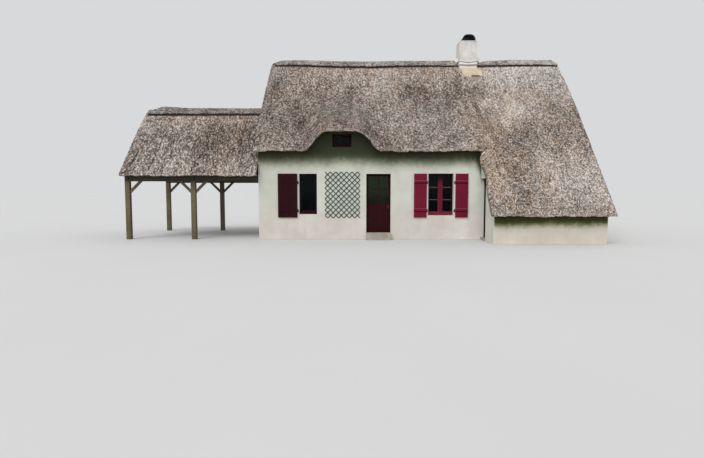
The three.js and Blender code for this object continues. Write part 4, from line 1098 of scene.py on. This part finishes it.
def front_door_trim():
    """Boards, rails and bead on the glazed door, with its knob and key plate."""
    left, right, face, sill = 0.564, 1.393, 0.165, 0.250
    back = face + 0.004
    low, high = sill + 0.14, sill + 1.015
    width = (right - left - 0.14) / DOOR_BOARDS
    made = Joinery(81)
    for k in range(DOOR_BOARDS):
        near = left + 0.07 + k * width
        made.box(near + 0.0015, near + width - 0.0015, face - 0.006, back, low, high, 0.004)
    made.box(left + 0.05, right - 0.05, face - 0.012, back, high, high + 0.024, 0.005)
    made.box(left + 0.02, right - 0.02, face - 0.03, back, sill + 0.055, sill + 0.115, 0.012)
    for a, b in ((left + 0.036, left + 0.045), (right - 0.045, right - 0.036)):
        made.box(a, b, face - 0.007, back, sill + 1.082, sill + 2.094)
    for a, b in ((1.082, 1.091), (2.085, 2.094)):
        made.box(left + 0.036, right - 0.036, face - 0.007, back, sill + a, sill + b)
    made.piece("front_door_mouldings", SHADED_JOINERY_PAINT, "joinery", body="front_door_leaf")
    iron = Joinery(82)
    x, z = right - 0.052, sill + 0.98
    iron.box(x - 0.018, x + 0.018, face - 0.005, face + 0.003, z - 0.085, z + 0.055, 0.002)
    iron.rod((x, face - 0.045, z), (x, face, z), 0.009)
    iron.rod((x, face - 0.062, z), (x, face - 0.040, z), 0.020, 0.026, 16)
    iron.piece("front_door_knob", DARK_METAL, "dark_metal", body="front_door_leaf")


def side_door_trim():
    """Ledged boards on the outer face of the side door, which looks along -X, with a thumb latch."""
    face, y0, y1, sill = 4.915, -0.663, -0.037, 0.080
    width = (y1 - y0) / DOOR_BOARDS
    made = Joinery(83)
    for k in range(DOOR_BOARDS):
        near = y0 + k * width
        made.box(face - 0.006, face + 0.004, near + 0.0015, near + width - 0.0015,
                 sill + 0.03, sill + 2.09, 0.004)
    made.piece("side_door_boards", SHADED_JOINERY_PAINT, "joinery", body="side_door_leaf")
    iron = Joinery(84)
    y, z = y0 + 0.06, sill + 1.0
    grip, foot = face - 0.045, face - 0.006
    iron.box(face - 0.010, face + 0.002, y0 + 0.045, y0 + 0.075, z - 0.09, z + 0.07, 0.002)
    iron.rod((grip, y, z - 0.06), (foot, y, z - 0.07), 0.006)
    iron.rod((grip, y, z + 0.04), (foot, y, z + 0.05), 0.006)
    iron.rod((grip, y, z - 0.062), (grip, y, z + 0.042), 0.007)
    iron.piece("side_door_latch", DARK_METAL, "dark_metal", body="side_door_leaf")


# Opening, mullion, rows of panes, height of the bottom rail, and 1 if it looks forward or -1 if back
WINDOWS = {
    "window_1": (-1.952, -1.296, 0.934, 2.430, 0.0, 1, 0.130, 1),
    "window_2": (2.815, 3.750, 0.893, 2.437, 0.180, 3, 0.130, 1),
    "loft_window": (-0.720, -0.020, 3.400, 3.880, 0.070, 1, 0.060, 1),
    "rear_window_left": (-1.000, -0.065, 0.893, 2.437, 0.180, 3, 0.130, -1),
    "rear_window_right": (5.600, 6.535, 0.893, 2.437, 0.180, 3, 0.130, -1),
}
RECESS, REAR_FACE = 0.200, 6.0
BORDER, BAR, BROAD_MULLION = 0.060, 0.024, 0.1


def casement_trim(name, x0, x1, z0, z1, mullion, rows, rail, inward):
    """Casement stiles and rails over the plain frame, faded glazing bars with painted highlight, and a sill.
    """
    face = RECESS if inward > 0 else REAR_FACE - RECESS
    tall = rail > BORDER
    casing, bars, rails, post = Joinery(90 + rows), Joinery(95 + rows), Joinery(97 + rows), Joinery(93)

    def slab(made, a, b, near, far, low, high, arris=0.003):
        made.box(a, b, face + inward * near, face + inward * far, low, high, arris)

    middle = (x0 + x1) / 2
    left, right, foot, head = x0 + BORDER, x1 - BORDER, z0 + rail, z1 - BORDER
    lights = ((left, middle - mullion / 2), (middle + mullion / 2, right)) if mullion else ((left, right),)
    for a, b in lights:
        slab(casing, a - 0.022, a + 0.006, -0.010, 0.004, foot - 0.02, head + 0.02)
        slab(casing, b - 0.006, b + 0.022, -0.010, 0.004, foot - 0.02, head + 0.02)
        slab(casing, a - 0.022, b + 0.022, -0.010, 0.004, head - 0.006, head + 0.022)
        slab(rails, a - 0.022, b + 0.022, -0.012, 0.004, foot - 0.03, foot + 0.006)
        pitch = (head - foot - BAR * (rows - 1)) / rows
        for row in range(1, rows):
            z = foot + row * (pitch + BAR) - BAR
            slab(bars, a, b, -0.004, 0.01, z - 0.002, z + BAR + 0.002, 0.005)
    slab(rails, x0 + 0.003, x1 - 0.003, -0.05, -0.002, z0 + 0.002, z0 + 0.052, 0.008)
    if tall:
        slab(rails, left - 0.03, right + 0.03, -0.016, 0.002, z0 + 0.050, foot - 0.012, 0.006)
    if mullion > BROAD_MULLION:
        slab(post, middle - 0.088, middle + 0.088, -0.014, 0.002, foot - 0.01, head, 0.006)
        slab(post, middle - 0.030, middle + 0.030, -0.026, 0.002, foot - 0.01, head, 0.008)
    # Rails of the front windows other than window_2 take the darkened burgundy, painted shade.
    dark = inward > 0 and name != "window_2"
    post.piece(f"{name}_mullion", MULLION_PAINT, "joinery")
    # The casings of the tall front windows take painted shade.
    casing.piece(f"{name}_casings", SHADE_BLACK_PAINT if tall and inward > 0 else SHADED_JOINERY_PAINT, "joinery")
    rails.piece(f"{name}_rails", SHADED_JOINERY_PAINT if dark else JOINERY_PAINT, "joinery")
    bars.piece(f"{name}_bars", BAR_PAINT, "joinery")


TRELLIS_LEFT, TRELLIS_RIGHT, TRELLIS_FOOT, TRELLIS_HEAD = -1.0, 0.3, 0.8, 2.49
LATH_PITCH, LATH_FACE = 0.2, -0.0195


def trellis_nails():
    """Nail heads where the laths cross."""
    heads, edge = Joinery(99), 0.01
    for i in range(7):
        for j in range(9):
            for shift in (0.0, LATH_PITCH / 2):
                x, z = TRELLIS_LEFT + LATH_PITCH * i + shift, TRELLIS_FOOT + LATH_PITCH * j + shift
                inside = TRELLIS_LEFT + edge < x < TRELLIS_RIGHT - edge
                if inside and TRELLIS_FOOT + edge < z < TRELLIS_HEAD - edge:
                    heads.rod((x, LATH_FACE - 0.005, z), (x, LATH_FACE, z), 0.003, 0.005, 6)
    heads.piece("trellis_nails", DARK_METAL, "dark_metal")


def wing_battens():
    """Poles across the rafters under the wing's reed."""
    made = Joinery(101)
    for side in (1, -1):
        for k, away in enumerate(np.arange(0.14, 2.2, 0.27)):
            y = WING_RIDGE_Y - side * away
            z = float(wing_top(y)) - WING_DEPTH - 0.006
            wobble = 0.01 * math.sin(3.1 * k + side)
            start, end = (WING_LEFT + 0.07, y, z + wobble), (WING_RIGHT - 0.01, y, z - wobble)
            made.rod(start, end, 0.021, 0.018, 9)
    made.piece("wing_battens", TIMBER, "raw_timber", smooth_faces=True)


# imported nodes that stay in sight
SLOT_MATERIALS = {
    "lime_render": RENDER, "flagstone": FLAGSTONE, "floor_board": BOARDS, "joinery": JOINERY_PAINT,
    "shutter_paint": SHUTTER_PAINT, "window_glass": GLASS, "trellis_paint": TRELLIS_PAINT,
    "thatch": THATCH, "ridge_thatch": RIDGE_STRAW, "raw_timber": TIMBER, "mortar": MORTAR,
    "dark_metal": DARK_METAL,
}
NODE_MATERIALS = (
    (("chimney_stack",), STACK_RENDER),
    (("front_wall_left", "front_wall_over_door", "front_wall_right"), FRONT_RENDER),
    (("rear_wall",), REAR_RENDER),
    (("outshut_front_wall", "outshut_side_wall", "outshut_wall_over_door"), OUTSHUT_RENDER),
    (("right_gable_wall",), OUTSHUT_END_RENDER),
    # Painted shade: doors, door frames and the loft window's frame take the darkened burgundy.
    (("front_door", "front_door_frame", "side_door", "side_door_frame", "loft_window_frame"), SHADED_JOINERY_PAINT),
    # Painted shade: the front windows' frames, deep in their openings.
    (("window_1_frame", "window_2_frame"), SHADE_BLACK_PAINT),
    (("front_door_glass",), DOOR_GLASS),
    (("shelter_plate_front", "shelter_plate_rear", "shelter_roof_frame"), SHADED_TIMBER),
)


def soften(nodes, width, segments=2):
    """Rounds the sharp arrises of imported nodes."""
    for node in nodes:
        bevel = frame["nodes"][node].modifiers.new("arrises", "BEVEL")
        bevel.width = width
        bevel.segments = segments
        bevel.limit_method = "ANGLE"
        bevel.angle_limit = math.radians(40)


def dress_nodes():
    for part in frame["record"]["subparts"]:
        obj = frame["nodes"][part["node"]]
        obj.data.materials.clear()
        obj.data.materials.append(SLOT_MATERIALS[part["material_slot"]])
    for nodes, material in NODE_MATERIALS:
        for node in nodes:
            frame["nodes"][node].data.materials[0] = material
    soften([n for n in frame["nodes"] if n.startswith(("shelter_post", "shelter_plate"))], 0.012)
    soften(["front_doorstep"], 0.015, 3)
    soften([n for n in frame["nodes"] if n.endswith("_frame") and not n.startswith("shelter")], 0.004)


# light and camera
FLOOR_HALF, FLOOR_Z = 150.0, -0.004
SKY_COLOUR, SKY_STRENGTH = (0.95, 0.965, 0.98, 1), 0.72
LAMPS = (("key", 1.45, 34.0, (42.0, 0.0, -28.0)), ("fill", 0.55, 60.0, (66.0, 0.0, -8.0)))
PHOTO_WIDTH, FOCAL_LENGTH, SENSOR_WIDTH = 704.0, 508.0, 36.0
CAMERA_PLACE, CAMERA_DOWN = Vector((0.0, -18.8, 1.831)), 4.39


def stage():
    """A pale level floor, an even pale sky, a broad key light and a weak fill."""
    mesh = bpy.data.meshes.new("studio_floor")
    corners = [(x * FLOOR_HALF, y * FLOOR_HALF, FLOOR_Z) for x, y in ((-1, -1), (1, -1), (1, 1), (-1, 1))]
    mesh.from_pydata(corners, [], [(0, 1, 2, 3)])
    floor = bpy.data.objects.new("studio_floor", mesh)
    shader = Shader("studio_floor", 0.95)
    colour = shader.blend(shader.noise(0.3, 2.0), (0.60, 0.60, 0.59), (0.63, 0.63, 0.62))
    mesh.materials.append(shader.shown(colour))
    bpy.context.scene.collection.objects.link(floor)
    world = bpy.data.worlds.new("sky")
    bpy.context.scene.world = world
    world.use_nodes = True
    world.node_tree.nodes["Background"].inputs["Color"].default_value = SKY_COLOUR
    world.node_tree.nodes["Background"].inputs["Strength"].default_value = SKY_STRENGTH
    for name, energy, angle, turn in LAMPS:
        lamp = bpy.data.lights.new(name, "SUN")
        lamp.energy = energy
        lamp.angle = math.radians(angle)
        light = bpy.data.objects.new(name, lamp)
        light.rotation_euler = [math.radians(a) for a in turn]
        bpy.context.scene.collection.objects.link(light)


def camera():
    """The photograph's place: 18.8 m before the front wall, eye height, 4.4 degrees down."""
    data = bpy.data.cameras.new("camera")
    data.sensor_width = SENSOR_WIDTH
    data.lens = SENSOR_WIDTH * FOCAL_LENGTH / PHOTO_WIDTH
    data.clip_end = 500.0
    obj = bpy.data.objects.new("camera", data)
    obj.location = CAMERA_PLACE + SHIFT
    obj.rotation_euler = (math.radians(90 - CAMERA_DOWN), 0.0, 0.0)
    bpy.context.scene.collection.objects.link(obj)
    bpy.context.scene.camera = obj


dress_nodes()
main_thatch()
wing_thatch()
ridge_caps()
chimney()
chimney_fillets()
cowl()
mortar_apron()
mended_strip()
shutters()
front_door_trim()
side_door_trim()
for window, facts in WINDOWS.items():
    casement_trim(window, *facts)
trellis_nails()
wing_battens()
stage()
camera()
bpy.context.scene.view_settings.view_transform = "Standard"
